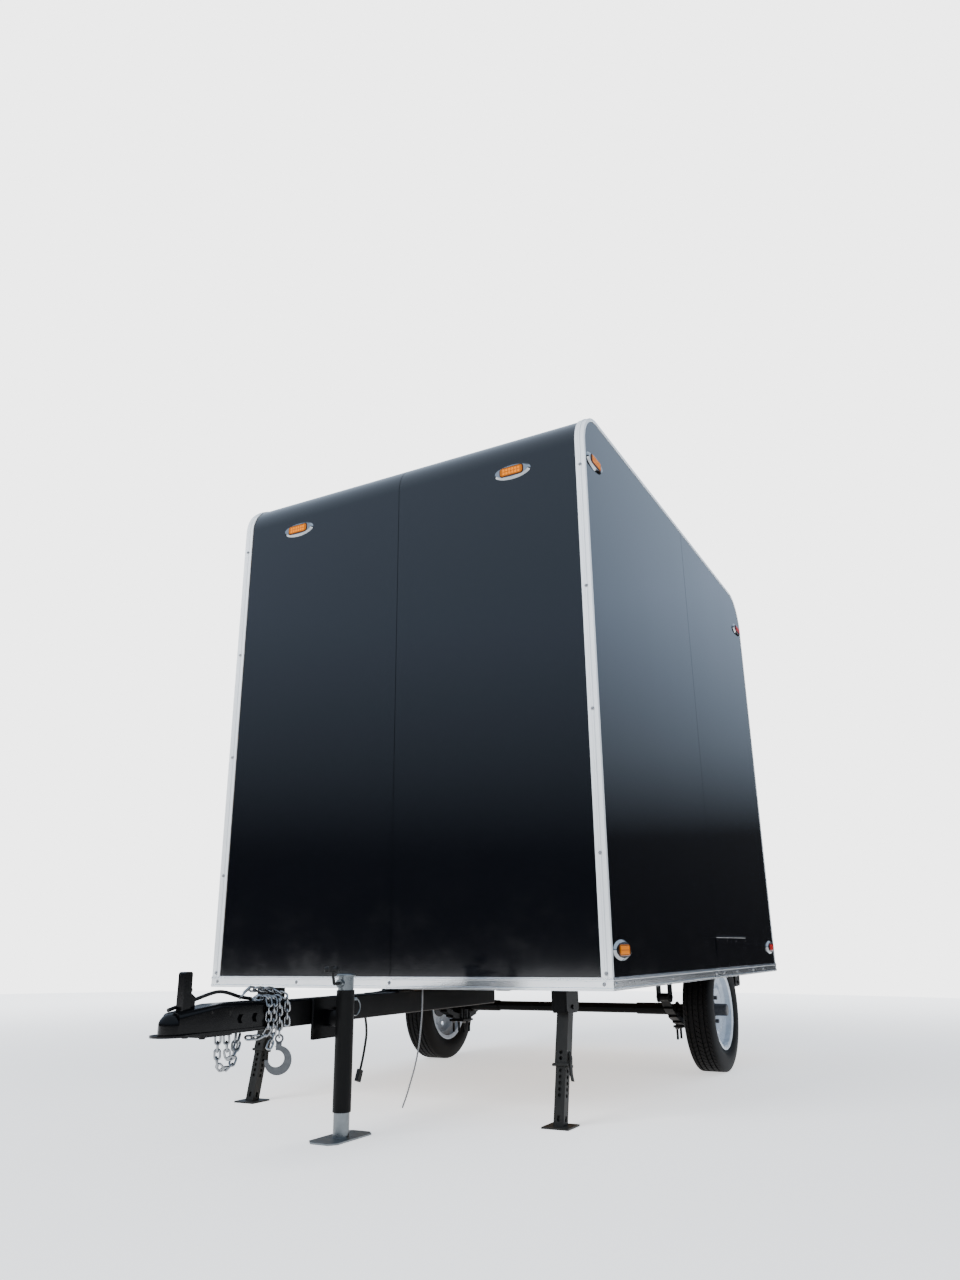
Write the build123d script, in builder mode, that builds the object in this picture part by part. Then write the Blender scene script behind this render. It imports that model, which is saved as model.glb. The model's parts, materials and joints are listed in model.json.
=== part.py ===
# Enclosed single-axle cargo trailer, parked on its tongue jack and two drop-leg
# stabilizers. X runs across (+X is the trailer's left side), the tongue points
# along -Y, Z is up. The origin is on the ground, under the middle of the
# trailer's overall length. Sizes are in millimetres.
import math
import os

from build123d import *

os.makedirs("parts", exist_ok=True)

# Body box
body_width = 1830
body_length = 2700
body_height = 2314
floor_z = 437
wall = 40
front_radius = 165
rear_radius = 200
seam_width = 2
seam_depth = 3
cut_overrun = 20

# Overall places along the trailer
nose_reach = 1165
lock_rod_radius = 11
lock_rod_offset = 30
rear_reach = lock_rod_offset + lock_rod_radius
nose_y = -(nose_reach + body_length + rear_reach) / 2
front_y = nose_y + nose_reach
rear_y = front_y + body_length
body_mid_y = (front_y + rear_y) / 2
roof_z = floor_z + body_height
half_width = body_width / 2
inner_half = half_width - wall
side_seam_share = 0.524
side_seam_y = front_y + body_length * side_seam_share
sides = (("left", 1), ("right", -1))

# Aluminium trim on the body's edges
trim_width = 39.5
trim_sheet = 4
trim_rib = 2
trim_rib_width = 7
trim_lip = 2
trim_lip_depth = 12
rail_height = 44
rail_rib_height = 5
rail_joint_gap = 1
rail_joint_share = 0.284
rail_joint_y = front_y + body_length * rail_joint_share
rail_top_z = floor_z + rail_height

# Floor frame and floor
frame_tube = 40
main_rail_inset = 270
main_rail_x = half_width - main_rail_inset
main_rail_width = 50
cross_member_width = 40
cross_member_pitch = 385
floor_sheet = 18
wall_base_z = floor_z + frame_tube
floor_top_z = wall_base_z + floor_sheet

# Running gear
tyre_radius = 281
tyre_half_width = 72
tread_half_width = 56
tread_shoulder = 9
bead_radius = 166
bead_half_width = 56
bead_fit = 1.5
bulge_low_radius = 212
bulge_high_radius = 238
rim_flange_radius = 182.6
rim_half_width = 60
rim_sheet = 4
rim_well_radius = 148
tyre_fit = 0.5
wheel_inset = 130
wheel_x = half_width - wheel_inset
axle_share = 0.62963
axle_y = front_y + body_length * axle_share
axle_z = tyre_radius
axle_radius = 24
axle_sleeve_radius = 28
axle_sleeve_start_x = main_rail_x - 245
axle_sleeve_end_x = main_rail_x - 85
spindle_radius = 16
spindle_gap = 0.4
hub_flange_radius = 66
hub_barrel_radius = 34
dust_cap_radius = 28
dust_cap_reach = 84

# Wheel box inside the load space, and the flap outside it
box_sheet = 3
box_inset = 220
box_inner_x = half_width - box_inset
box_half_length = 306
box_top_z = 640
box_corner = 70
flap_half_length = 298
flap_top_z = 626
flap_lap = 18
flap_sheet = 3
flap_bead = 8

# Rear doorway and doors
post_width = 70
door_head_drop = 311
door_head_z = roof_z - door_head_drop
door_gap = 5
door_meeting_gap = 9
hinge_radius = 9
hinge_offset = 11
hinge_pin_radius = 4
hinge_pin_gap = 0.3
hinge_height = 80
hinge_leaf = 38
hinge_strap = 160
hinge_sheet = 4
hinge_rise_shares = (0.1, 0.5, 0.9)

# Tongue, coupler and jack
tongue_side = 80
tongue_wall = 5
tongue_top_z = 427
tongue_front_y = nose_y + 265
tongue_rear_y = front_y + 800
ball_y = nose_y + 55
ball_z = 383
socket_radius = 25.8
socket_wall = 8
coupler_rear_y = nose_y + 395
coupler_sheet = 6
coupler_fit = 0.4
jack_x = 116
jack_y = front_y - 442
jack_pivot_z = 362
jack_sleeve_radius = 30.5
jack_tube_radius = 26.5
jack_tube_gap = 1
jack_sleeve_bottom_z = 78
jack_sleeve_top_z = 452
jack_head_top_z = 504
jack_foot_length = 232
jack_foot_width = 112
jack_tube_top_z = 330
foot_sheet = 6

# Drop-leg stabilizers
leg_inset = 230
leg_x = half_width - leg_inset
leg_pivot_z = 378
leg_side = 45
leg_inner_side = 38
leg_lean = 12
front_leg_y = front_y + 115
rear_leg_y = rear_y - 120


def body_side(inset):
    """The body seen from the side, drawn in by inset from its outer skin."""
    height = roof_z - inset - wall_base_z
    with BuildSketch() as outline:
        with Locations((body_mid_y, wall_base_z + height / 2)):
            Rectangle(body_length - 2 * inset, height)
        fillet(outline.vertices().group_by(Axis.X)[0].sort_by(Axis.Y)[-1], front_radius - inset)
        fillet(outline.vertices().group_by(Axis.X)[-1].sort_by(Axis.Y)[-1], rear_radius - inset)
    return outline.sketch


def band(low_y, high_y, low_z, high_z, mode=Mode.ADD):
    """A rectangle between two places along the trailer and two heights."""
    with Locations(((low_y + high_y) / 2, (low_z + high_z) / 2)):
        Rectangle(high_y - low_y, high_z - low_z, mode=mode)


def save(part, name):
    """Label a finished piece and write it."""
    part.label = name
    export_step(part, f"parts/{name}.step")


# Floor frame: perimeter tubes, two main rails and cross-members between them.
# The cross-members stop at the main rails beside the wheel boxes.
cross_member_count = int((body_length - 2 * frame_tube) / cross_member_pitch)
cross_member_step = (body_length - frame_tube) / (cross_member_count + 1)
cross_member_ys = []
for number in range(1, cross_member_count + 1):
    cross_member_ys.append(front_y + frame_tube / 2 + number * cross_member_step)
with BuildPart() as chassis_frame:
    with BuildSketch(Plane.XY.offset(floor_z)):
        with Locations((0, body_mid_y)):
            Rectangle(body_width, body_length)
            Rectangle(2 * inner_half, body_length - 2 * frame_tube, mode=Mode.SUBTRACT)
        with Locations((-main_rail_x, body_mid_y), (main_rail_x, body_mid_y)):
            Rectangle(main_rail_width, body_length)
        for member_y in cross_member_ys:
            beside_wheel = abs(member_y - axle_y) < box_half_length + cross_member_width
            with Locations((0, member_y)):
                Rectangle(2 * (main_rail_x if beside_wheel else inner_half), cross_member_width)
        for _, side in sides:
            for end in (-1, 1):
                with Locations((side * (main_rail_x + inner_half) / 2,
                                axle_y + end * (box_half_length + cross_member_width / 2))):
                    Rectangle(inner_half - main_rail_x, cross_member_width)
    extrude(amount=frame_tube)
save(chassis_frame.part, "chassis_frame")

# Floor panel, notched round the wheel boxes
with BuildPart() as floor_panel:
    with BuildSketch(Plane.XY.offset(wall_base_z)):
        with Locations((0, body_mid_y)):
            Rectangle(2 * inner_half, body_length - 2 * wall)
        for _, side in sides:
            with Locations((side * (box_inner_x + inner_half) / 2, axle_y)):
                Rectangle(inner_half - box_inner_x, 2 * box_half_length, mode=Mode.SUBTRACT)
    extrude(amount=floor_sheet)
save(floor_panel.part, "floor_panel")

# Front wall and roof are one wrap, parted where the front curve meets the roof,
# with a joint in the skin up the middle
curve_end_y = front_y + front_radius
header_top_z = roof_z - rear_radius
for name, low_y, high_y in (
    ("front_wall", front_y - cut_overrun, curve_end_y),
    ("roof_panel", curve_end_y, rear_y + cut_overrun),
):
    with BuildPart() as wrap:
        with BuildSketch(Plane.YZ.offset(-inner_half)):
            add(body_side(0))
            add(body_side(wall), mode=Mode.SUBTRACT)
            band(rear_y - 2 * wall, rear_y, wall_base_z, header_top_z, Mode.SUBTRACT)
            band(low_y, high_y, wall_base_z - cut_overrun, roof_z + cut_overrun, Mode.INTERSECT)
        extrude(amount=2 * inner_half)
        with BuildSketch(Plane.YZ.offset(-seam_width / 2)):
            add(body_side(0))
            add(body_side(seam_depth), mode=Mode.SUBTRACT)
        extrude(amount=seam_width, mode=Mode.SUBTRACT)
    save(wrap.part, name)

# Side walls, with a joint in the skin and an opening over the wheel
for side_name, side in sides:
    with BuildPart() as side_wall:
        with BuildSketch(Plane.YZ.offset(side * inner_half)):
            add(body_side(0))
            band(axle_y - flap_half_length + flap_lap, axle_y + flap_half_length - flap_lap,
                 wall_base_z, flap_top_z - flap_lap, Mode.SUBTRACT)
        extrude(amount=side * wall)
        with BuildSketch(Plane.YZ.offset(side * (half_width - seam_depth))):
            band(side_seam_y - seam_width / 2, side_seam_y + seam_width / 2,
                 wall_base_z, roof_z)
        extrude(amount=side * seam_depth, mode=Mode.SUBTRACT)
    save(side_wall.part, f"side_wall_{side_name}")

# Rear frame: the portal round the double doors
doorway_half = inner_half - post_width
with BuildPart() as rear_frame:
    with BuildSketch(Plane.XZ.offset(-rear_y)):
        with Locations((0, (wall_base_z + header_top_z) / 2)):
            Rectangle(2 * inner_half, header_top_z - wall_base_z)
        with Locations((0, (floor_top_z + door_head_z) / 2)):
            Rectangle(2 * doorway_half, door_head_z - floor_top_z, mode=Mode.SUBTRACT)
    extrude(amount=wall)
save(rear_frame.part, "rear_frame")

# Aluminium trim round each side of the wrap: a flat strip with a raised rib,
# and a lip over the edge of the side wall
trim_inner_x = half_width - trim_width
rib_x = half_width - (trim_width + trim_rib_width) / 2
for side_name, side in sides:
    with BuildPart() as wrap_trim:
        for start_x, width, outer, inner in (
            (trim_inner_x, trim_width + trim_lip, -trim_sheet, 0),
            (rib_x, trim_rib_width, -trim_sheet - trim_rib, 0),
            (half_width, trim_lip, -trim_sheet, trim_lip_depth),
        ):
            with BuildSketch(Plane.YZ.offset(side * start_x)):
                add(body_side(outer))
                add(body_side(inner), mode=Mode.SUBTRACT)
                band(front_y - cut_overrun, rear_y + cut_overrun,
                     floor_z, rail_top_z, Mode.SUBTRACT)
            extrude(amount=side * width)
    save(wrap_trim.part, f"wrap_trim_{side_name}")

# Ribbed base rail round the foot of the body, in lengths butted at the sides
with BuildPart() as base_rail:
    for rise, height, stand_out in (
        (0, rail_height, trim_sheet),
        (rail_rib_height, rail_rib_height, trim_sheet + trim_rib),
        (rail_height - 2 * rail_rib_height, rail_rib_height, trim_sheet + trim_rib),
    ):
        with BuildSketch(Plane.XY.offset(floor_z + rise)):
            with Locations((0, body_mid_y)):
                Rectangle(body_width + 2 * stand_out, body_length + 2 * stand_out)
                Rectangle(body_width, body_length, mode=Mode.SUBTRACT)
        extrude(amount=height)
    with BuildSketch(Plane.XY.offset(floor_z)):
        for joint_y in (rail_joint_y, axle_y - flap_half_length, axle_y + flap_half_length):
            with Locations((0, joint_y)):
                Rectangle(body_width + 2 * cut_overrun, rail_joint_gap)
    extrude(amount=rail_height, mode=Mode.SUBTRACT)
save(base_rail.part, "base_rail")

# Wheel boxes: open sheet-metal boxes over the wheels, inside the load space
for side_name, side in sides:
    with BuildPart() as wheel_box:
        for start_x, inset, mode in ((box_inner_x, 0, Mode.ADD),
                                     (box_inner_x + box_sheet, box_sheet, Mode.SUBTRACT)):
            with BuildSketch(Plane.YZ.offset(side * start_x)) as box_side:
                band(axle_y - box_half_length + inset, axle_y + box_half_length - inset,
                     wall_base_z, box_top_z - inset)
                fillet(box_side.vertices().group_by(Axis.Y)[-1], box_corner - inset)
            extrude(amount=side * (inner_half - start_x), mode=mode)
    save(wheel_box.part, f"wheel_box_{side_name}")

# Flaps: screwed access panels over the wheels, with a beaded top edge
for side_name, side in sides:
    with BuildPart() as wheel_flap:
        with BuildSketch(Plane.YZ.offset(side * half_width)):
            band(axle_y - flap_half_length, axle_y + flap_half_length,
                 rail_top_z, flap_top_z - flap_bead)
        extrude(amount=side * flap_sheet)
        with BuildSketch(Plane.YZ.offset(side * half_width)):
            band(axle_y - flap_half_length, axle_y + flap_half_length,
                 flap_top_z - flap_bead, flap_top_z)
        extrude(amount=side * (flap_sheet + trim_rib))
    save(wheel_flap.part, f"wheel_flap_{side_name}")

# Axle: a straight tube with two sleeves, spring seats and a spindle at each end
spring_leaf_width = 45
spring_leaf_sheet = 7
spring_seat_height = 22
spring_seat_length = 110
spring_half_span = 300
spring_eye_z = 352
spring_eye_radius = 17
spring_bolt_radius = 7
spring_fit = 0.5
spring_top_z = axle_z - axle_radius - spring_seat_height
spring_rise = spring_eye_z - spring_eye_radius - spring_top_z + spring_leaf_sheet
spring_radius = (spring_half_span ** 2 + spring_rise ** 2) / (2 * spring_rise)
spring_center_z = spring_top_z + spring_radius
spring_half_angle = math.degrees(math.asin(spring_half_span / spring_radius))
leaf_reach_shares = (1.0, 0.82, 0.6, 0.4)
u_bolt_radius = 6
u_bolt_half_pitch = axle_radius + u_bolt_radius
u_bolt_half_gauge = 33
u_bolt_end_z = 140
spring_plate_sheet = 10
spring_stack = len(leaf_reach_shares) * spring_leaf_sheet
axle_end_gap = 20
spindle_reach = 40
axle_end_x = wheel_x - rim_half_width - axle_end_gap
spindle_end_x = wheel_x + spindle_reach
with BuildPart() as axle:
    with BuildSketch(Plane.YZ.offset(-axle_end_x)):
        with Locations((axle_y, axle_z)):
            Circle(axle_radius)
    extrude(amount=2 * axle_end_x)
    with BuildSketch(Plane.YZ.offset(-spindle_end_x)):
        with Locations((axle_y, axle_z)):
            Circle(spindle_radius)
    extrude(amount=2 * spindle_end_x)
    for _, side in sides:
        with BuildSketch(Plane.YZ.offset(side * axle_sleeve_start_x)):
            with Locations((axle_y, axle_z)):
                Circle(axle_sleeve_radius)
        extrude(amount=side * (axle_sleeve_end_x - axle_sleeve_start_x))
        with BuildSketch(Plane.YZ.offset(side * (main_rail_x - spring_leaf_width / 2))):
            band(axle_y - spring_seat_length / 2, axle_y + spring_seat_length / 2,
                 spring_top_z, axle_z - axle_radius / 2)
            with Locations((axle_y, spring_center_z)):
                Circle(spring_radius, mode=Mode.INTERSECT)
        extrude(amount=side * spring_leaf_width)
save(axle.part, "axle")

# Leaf springs slung under the axle. Each leaf is an arc about one centre, and
# the top leaf is rolled into an eye at each end.
for side_name, side in sides:
    with BuildPart() as leaf_spring:
        with BuildSketch(Plane.YZ.offset(side * (main_rail_x - spring_leaf_width / 2))):
            for number, reach_share in enumerate(leaf_reach_shares):
                inner_r = spring_radius + number * spring_leaf_sheet
                outer_r = inner_r + spring_leaf_sheet
                half_angle = spring_half_angle * reach_share
                start = -90 - half_angle
                with BuildLine():
                    low = CenterArc((axle_y, spring_center_z), outer_r, start, 2 * half_angle)
                    high = CenterArc((axle_y, spring_center_z), inner_r, start, 2 * half_angle)
                    Line(low @ 0, high @ 0)
                    Line(low @ 1, high @ 1)
                make_face()
            with Locations((axle_y - spring_half_span, spring_eye_z),
                           (axle_y + spring_half_span, spring_eye_z)):
                Circle(spring_eye_radius)
                Circle(spring_bolt_radius + spring_fit, mode=Mode.SUBTRACT)
        extrude(amount=side * spring_leaf_width)
        plate_top_z = spring_top_z - spring_stack
        with BuildSketch(Plane.XY.offset(plate_top_z - spring_plate_sheet)):
            with Locations((side * main_rail_x, axle_y)):
                Rectangle(2 * (u_bolt_half_gauge + 2 * u_bolt_radius), spring_seat_length)
        extrude(amount=spring_plate_sheet)
        for end in (-1, 1):
            bolt_plane = Plane.YZ.offset(side * main_rail_x + end * u_bolt_half_gauge)
            with BuildLine(bolt_plane) as u_shape:
                Line((axle_y - u_bolt_half_pitch, u_bolt_end_z),
                     (axle_y - u_bolt_half_pitch, axle_z))
                over = CenterArc((axle_y, axle_z), u_bolt_half_pitch, 180, -180)
                Line(over @ 1, (axle_y + u_bolt_half_pitch, u_bolt_end_z))
            with BuildSketch(Plane.XY.offset(u_bolt_end_z)):
                with Locations((bolt_plane.origin.X, axle_y - u_bolt_half_pitch)):
                    Circle(u_bolt_radius)
            sweep(path=u_shape.wires()[0])
    save(leaf_spring.part, f"leaf_spring_{side_name}")

# Spring hangers: a U of plate under the main rail at each spring eye, with its bolt
hanger_sheet = 6
hanger_gap = 50
hanger_length = 60
hanger_drop = 110
bolt_head_radius = 11
bolt_head_height = 8
with BuildPart() as spring_hangers:
    for _, side in sides:
        for end in (-1, 1):
            eye_y = axle_y + end * spring_half_span
            for face in (-1, 1):
                plate_x = side * main_rail_x + face * (hanger_gap / 2 + hanger_sheet / 2)
                with BuildSketch(Plane.YZ.offset(plate_x - hanger_sheet / 2)) as plate:
                    band(eye_y - hanger_length / 2, eye_y + hanger_length / 2,
                         floor_z - hanger_drop, floor_z)
                    fillet(plate.vertices().group_by(Axis.Y)[0], hanger_length / 3)
                extrude(amount=hanger_sheet)
            with BuildSketch(Plane.YZ.offset(side * main_rail_x - hanger_gap / 2)):
                band(eye_y - hanger_length / 2, eye_y + hanger_length / 2,
                     floor_z - hanger_sheet, floor_z)
            extrude(amount=hanger_gap)
            bolt_half = hanger_gap / 2 + hanger_sheet
            with BuildSketch(Plane.YZ.offset(side * main_rail_x - bolt_half)):
                with Locations((eye_y, spring_eye_z)):
                    Circle(spring_bolt_radius)
            extrude(amount=2 * bolt_half)
            for face in (-1, 1):
                with BuildSketch(Plane.YZ.offset(side * main_rail_x + face * bolt_half)):
                    with Locations((eye_y, spring_eye_z)):
                        RegularPolygon(bolt_head_radius, side_count=6)
                extrude(amount=face * bolt_head_height)
save(spring_hangers.part, "spring_hangers")


def wheel_plane(side):
    """Outward is the plane's X and the wheel's radius its Y."""
    return Plane(origin=(side * wheel_x, axle_y, axle_z), x_dir=(side, 0, 0), z_dir=(0, 0, 1))


# Wheels: tyre, steel rim with a windowed disc, and a hub that turns on the spindle
disc_crown = 16
disc_crown_radius = 98
disc_center = 12
window_count = 12
window_radius = 11
window_circle = 122
lug_count = 5
lug_circle = 57
lug_radius = 10
stud_radius = 6
lug_height = 16
disc_front = [
    # outward of the wheel's middle, radius
    (disc_center, hub_barrel_radius + tyre_fit),
    (disc_center, lug_circle + lug_radius + rim_sheet),
    (disc_center + disc_crown, disc_crown_radius),
    (disc_center + disc_crown / 2, window_circle + 1.5 * window_radius),
    (rim_sheet, rim_well_radius - rim_sheet / 2),
]
for side_name, side in sides:
    plane = wheel_plane(side)
    spin = Axis(plane.origin, plane.x_dir)
    with BuildPart() as tyre:
        with BuildSketch(plane):
            with BuildLine():
                wall_low = Polyline(
                    (bead_half_width - bead_fit, bead_radius + tyre_fit),
                    (rim_half_width - bead_fit, rim_flange_radius + bead_fit),
                    (tyre_half_width, bulge_low_radius),
                    (tyre_half_width, bulge_high_radius),
                    (tread_half_width + tread_shoulder, tyre_radius - tread_shoulder),
                    (tread_half_width, tyre_radius),
                    (0, tyre_radius))
                mirror(wall_low, about=Plane.YZ)
                Line((-bead_half_width + bead_fit, bead_radius + tyre_fit),
                     (bead_half_width - bead_fit, bead_radius + tyre_fit))
            make_face()
        revolve(axis=spin)
    save(tyre.part, f"tyre_{side_name}")

    with BuildPart() as rim:
        with BuildSketch(plane):
            with BuildLine():
                Polyline(
                    (-rim_half_width, rim_flange_radius),
                    (-bead_half_width, bead_radius),
                    (-rim_half_width / 2, bead_radius),
                    (-rim_half_width / 4, rim_well_radius),
                    (rim_half_width / 4, rim_well_radius),
                    (rim_half_width / 2, bead_radius),
                    (bead_half_width, bead_radius),
                    (rim_half_width, rim_flange_radius),
                    (rim_half_width, rim_flange_radius - rim_sheet),
                    (bead_half_width, bead_radius - rim_sheet),
                    (rim_half_width / 2, bead_radius - rim_sheet),
                    (rim_half_width / 4, rim_well_radius - rim_sheet),
                    (-rim_half_width / 4, rim_well_radius - rim_sheet),
                    (-rim_half_width / 2, bead_radius - rim_sheet),
                    (-bead_half_width, bead_radius - rim_sheet),
                    (-rim_half_width, rim_flange_radius - rim_sheet),
                    close=True)
            make_face()
            with BuildLine():
                Polyline(disc_front + [(x - rim_sheet, radius) for x, radius in disc_front[::-1]],
                         close=True)
            make_face()
        revolve(axis=spin)
        with BuildSketch(Plane(origin=plane.origin, x_dir=(0, 1, 0), z_dir=plane.x_dir)):
            with PolarLocations(window_circle, window_count):
                Circle(window_radius)
            with PolarLocations(lug_circle, lug_count):
                Circle(stud_radius + tyre_fit)
        extrude(amount=rim_half_width, mode=Mode.SUBTRACT)
    save(rim.part, f"rim_{side_name}")

    hub_face = Plane(origin=plane.origin + plane.x_dir * (disc_center - rim_sheet),
                     x_dir=(0, 1, 0), z_dir=plane.x_dir)
    hub_back = wheel_x - (axle_end_x + spring_fit)
    with BuildPart() as hub:
        with BuildSketch(hub_face):
            Circle(hub_flange_radius)
        extrude(amount=-2 * rim_sheet)
        with BuildSketch(hub_face):
            Circle(hub_barrel_radius)
        extrude(amount=-(hub_back + disc_center - rim_sheet))
        with BuildSketch(hub_face):
            Circle(hub_barrel_radius)
        extrude(amount=2 * rim_sheet)
        with BuildSketch(hub_face):
            Circle(dust_cap_radius)
        extrude(amount=dust_cap_reach - disc_center)
        fillet(hub.edges().filter_by(GeomType.CIRCLE).sort_by(Axis(hub_face.origin, hub_face.z_dir))[-1],
               dust_cap_radius / 4)
        with BuildSketch(hub_face):
            with PolarLocations(lug_circle, lug_count):
                Circle(stud_radius)
        extrude(amount=2 * rim_sheet)
        with BuildSketch(hub_face.offset(rim_sheet)):
            with PolarLocations(lug_circle, lug_count):
                RegularPolygon(lug_radius, side_count=6)
        extrude(amount=lug_height)
        with BuildSketch(Plane(origin=plane.origin - plane.x_dir * hub_back,
                               x_dir=(0, 1, 0), z_dir=plane.x_dir)):
            Circle(spindle_radius + spindle_gap)
        extrude(amount=hub_back + (spindle_end_x - wheel_x) + spring_fit, mode=Mode.SUBTRACT)
    save(hub.part, f"hub_{side_name}")

# Tongue: one box beam under the floor, on pads, with a gusset at the front wall
pad_length = 120
gusset_length = 160
gusset_sheet = 8
pad_height = floor_z - tongue_top_z
tongue_bottom_z = tongue_top_z - tongue_side
tongue_half = tongue_side / 2
tongue_mid_z = tongue_top_z - tongue_half
with BuildPart() as tongue_beam:
    with BuildSketch(Plane.XZ.offset(-tongue_front_y)):
        with Locations((0, tongue_mid_z)):
            RectangleRounded(tongue_side, tongue_side, tongue_wall)
            Rectangle(tongue_side - 2 * tongue_wall, tongue_side - 2 * tongue_wall,
                      mode=Mode.SUBTRACT)
    extrude(amount=-(tongue_rear_y - tongue_front_y))
    with BuildSketch(Plane.XY.offset(tongue_top_z - tongue_wall / 2)):
        with Locations((0, front_y + pad_length / 2), (0, tongue_rear_y - pad_length / 2)):
            Rectangle(tongue_side - tongue_wall, pad_length)
    extrude(amount=pad_height + tongue_wall / 2)
    with BuildSketch(Plane.YZ.offset(-gusset_sheet / 2)):
        with BuildLine():
            Polyline((front_y, tongue_top_z), (front_y - gusset_length, tongue_top_z),
                     (front_y, floor_z), close=True)
        make_face()
    extrude(amount=gusset_sheet)
save(tongue_beam.part, "tongue_beam")

# Coupler: a pressed channel over the beam, tapering to a ball socket, with a
# flat flange round its lower edge
coupler_inner_half = tongue_half + coupler_fit
coupler_half = coupler_inner_half + coupler_sheet
coupler_top_z = tongue_top_z + coupler_fit + coupler_sheet
coupler_base_z = 353
flange_sheet = 6
flange_half = 52
dome_radius = socket_radius + socket_wall
taper_start_y = nose_y + 205
coupler_bolt_radius = 8
bolt_place_shares = (0.25, 0.75)
coupler_bolt_head = 14
under_plate_start_y = nose_y + 130
under_plate_sheet = 8
under_boss_radius = 9
with BuildPart() as coupler:
    with BuildSketch(Plane.XZ.offset(-taper_start_y)) as channel:
        with Locations((0, (coupler_base_z + coupler_top_z) / 2)):
            Rectangle(2 * coupler_half, coupler_top_z - coupler_base_z)
        fillet(channel.vertices().group_by(Axis.Y)[-1], 2 * coupler_sheet)
    extrude(amount=taper_start_y - coupler_rear_y)
    with BuildSketch(Plane.XZ.offset(-taper_start_y)) as wide_end:
        with Locations((0, (coupler_base_z + coupler_top_z) / 2)):
            Rectangle(2 * coupler_half, coupler_top_z - coupler_base_z)
        fillet(wide_end.vertices().group_by(Axis.Y)[-1], 2 * coupler_sheet)
    with BuildSketch(Plane.XZ.offset(-ball_y)) as narrow_end:
        with Locations((0, (coupler_base_z + ball_z + dome_radius) / 2)):
            Rectangle(2 * dome_radius, ball_z + dome_radius - coupler_base_z)
        fillet(narrow_end.vertices().group_by(Axis.Y)[-1], dome_radius / 2)
    loft()
    with BuildSketch(Plane.XY.offset(coupler_base_z)):
        with Locations((0, ball_y)):
            Circle(dome_radius)
    extrude(amount=ball_z - coupler_base_z)
    with Locations((0, ball_y, ball_z)):
        Sphere(dome_radius)
    with BuildSketch(Plane.XY.offset(coupler_base_z)):
        with Locations((0, ball_y)):
            Circle(-nose_y + ball_y)
        with Locations((0, (ball_y + coupler_rear_y) / 2)):
            Rectangle(2 * flange_half, coupler_rear_y - ball_y)
    extrude(amount=flange_sheet)
    with BuildSketch(Plane.XZ.offset(-coupler_rear_y)):
        with Locations((0, tongue_mid_z)):
            Rectangle(2 * coupler_inner_half, tongue_side + 2 * coupler_fit)
        with Locations((0, coupler_base_z)):
            Rectangle(2 * coupler_inner_half, tongue_side)
    extrude(amount=coupler_rear_y - tongue_front_y + coupler_fit, mode=Mode.SUBTRACT)
    with BuildSketch(Plane.XY.offset(coupler_base_z - cut_overrun)):
        with Locations((0, ball_y)):
            Circle(socket_radius)
    extrude(amount=ball_z - coupler_base_z + cut_overrun, mode=Mode.SUBTRACT)
    with Locations((0, ball_y, ball_z)):
        Sphere(socket_radius, mode=Mode.SUBTRACT)
    with BuildSketch(Plane.XY.offset(coupler_base_z)) as under_plate:
        with Locations((0, (under_plate_start_y + tongue_front_y) / 2)):
            Rectangle(2 * (flange_half - coupler_sheet),
                      tongue_front_y - under_plate_start_y - coupler_sheet)
        fillet(under_plate.vertices(), coupler_sheet)
    extrude(amount=-under_plate_sheet)
    with BuildSketch(Plane.XY.offset(coupler_base_z - under_plate_sheet)):
        for face in (-1, 1):
            with Locations((face * dome_radius, under_plate_start_y + 2 * under_boss_radius)):
                Circle(under_boss_radius)
    extrude(amount=-under_plate_sheet / 2)
    for bolt_share in bolt_place_shares:
        bolt_y = coupler_rear_y + (tongue_front_y - coupler_rear_y) * bolt_share
        for face in (-1, 1):
            with BuildSketch(Plane.YZ.offset(face * coupler_half)):
                with Locations((bolt_y, tongue_mid_z)):
                    RegularPolygon(coupler_bolt_head, side_count=6)
            extrude(amount=face * coupler_bolt_radius)
save(coupler.part, "coupler")

# Latch: an upright lever on the coupler, with a notched trigger behind it
latch_half = 14
latch_front_y = nose_y + 83
latch_rear_y = latch_front_y + 30
latch_top_z = 526
trigger_half = 5
trigger_reach = 26
trigger_bump_radius = 7
trigger_bump_shares = (0.3, 0.52, 0.74)
coupler_slope = (coupler_top_z - ball_z - dome_radius) / (taper_start_y - ball_y)
latch_base_z = ball_z + dome_radius + coupler_slope * (latch_front_y - ball_y)
lever_height = latch_top_z - latch_base_z
latch_depth = latch_rear_y - latch_front_y
trigger_rear_y = latch_rear_y + trigger_reach
with BuildPart() as coupler_latch:
    with BuildSketch(Plane.YZ.offset(-latch_half)) as lever:
        with BuildLine():
            Polyline((latch_front_y, latch_base_z), (latch_front_y, latch_top_z),
                     (latch_rear_y, latch_top_z),
                     (latch_rear_y, latch_base_z + coupler_slope * latch_depth), close=True)
        make_face()
        fillet(lever.vertices().group_by(Axis.Y)[-1], latch_depth / 4)
    extrude(amount=2 * latch_half)
    with BuildSketch(Plane.YZ.offset(-trigger_half)):
        with BuildLine():
            Polyline((latch_rear_y, latch_base_z + coupler_slope * latch_depth),
                     (latch_rear_y, latch_base_z + lever_height / 2),
                     (trigger_rear_y, latch_base_z + lever_height / 3),
                     (trigger_rear_y, latch_base_z + coupler_slope * (latch_depth + trigger_reach)),
                     close=True)
        make_face()
        for bump_share in trigger_bump_shares:
            with Locations((latch_rear_y + trigger_reach * (1 - bump_share) - trigger_bump_radius,
                            latch_base_z + lever_height * bump_share)):
                Circle(trigger_bump_radius)
        with Locations((latch_rear_y, latch_base_z + lever_height / 2)):
            Rectangle(trigger_bump_radius, lever_height / 2)
    extrude(amount=2 * trigger_half)
save(coupler_latch.part, "coupler_latch")

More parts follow.
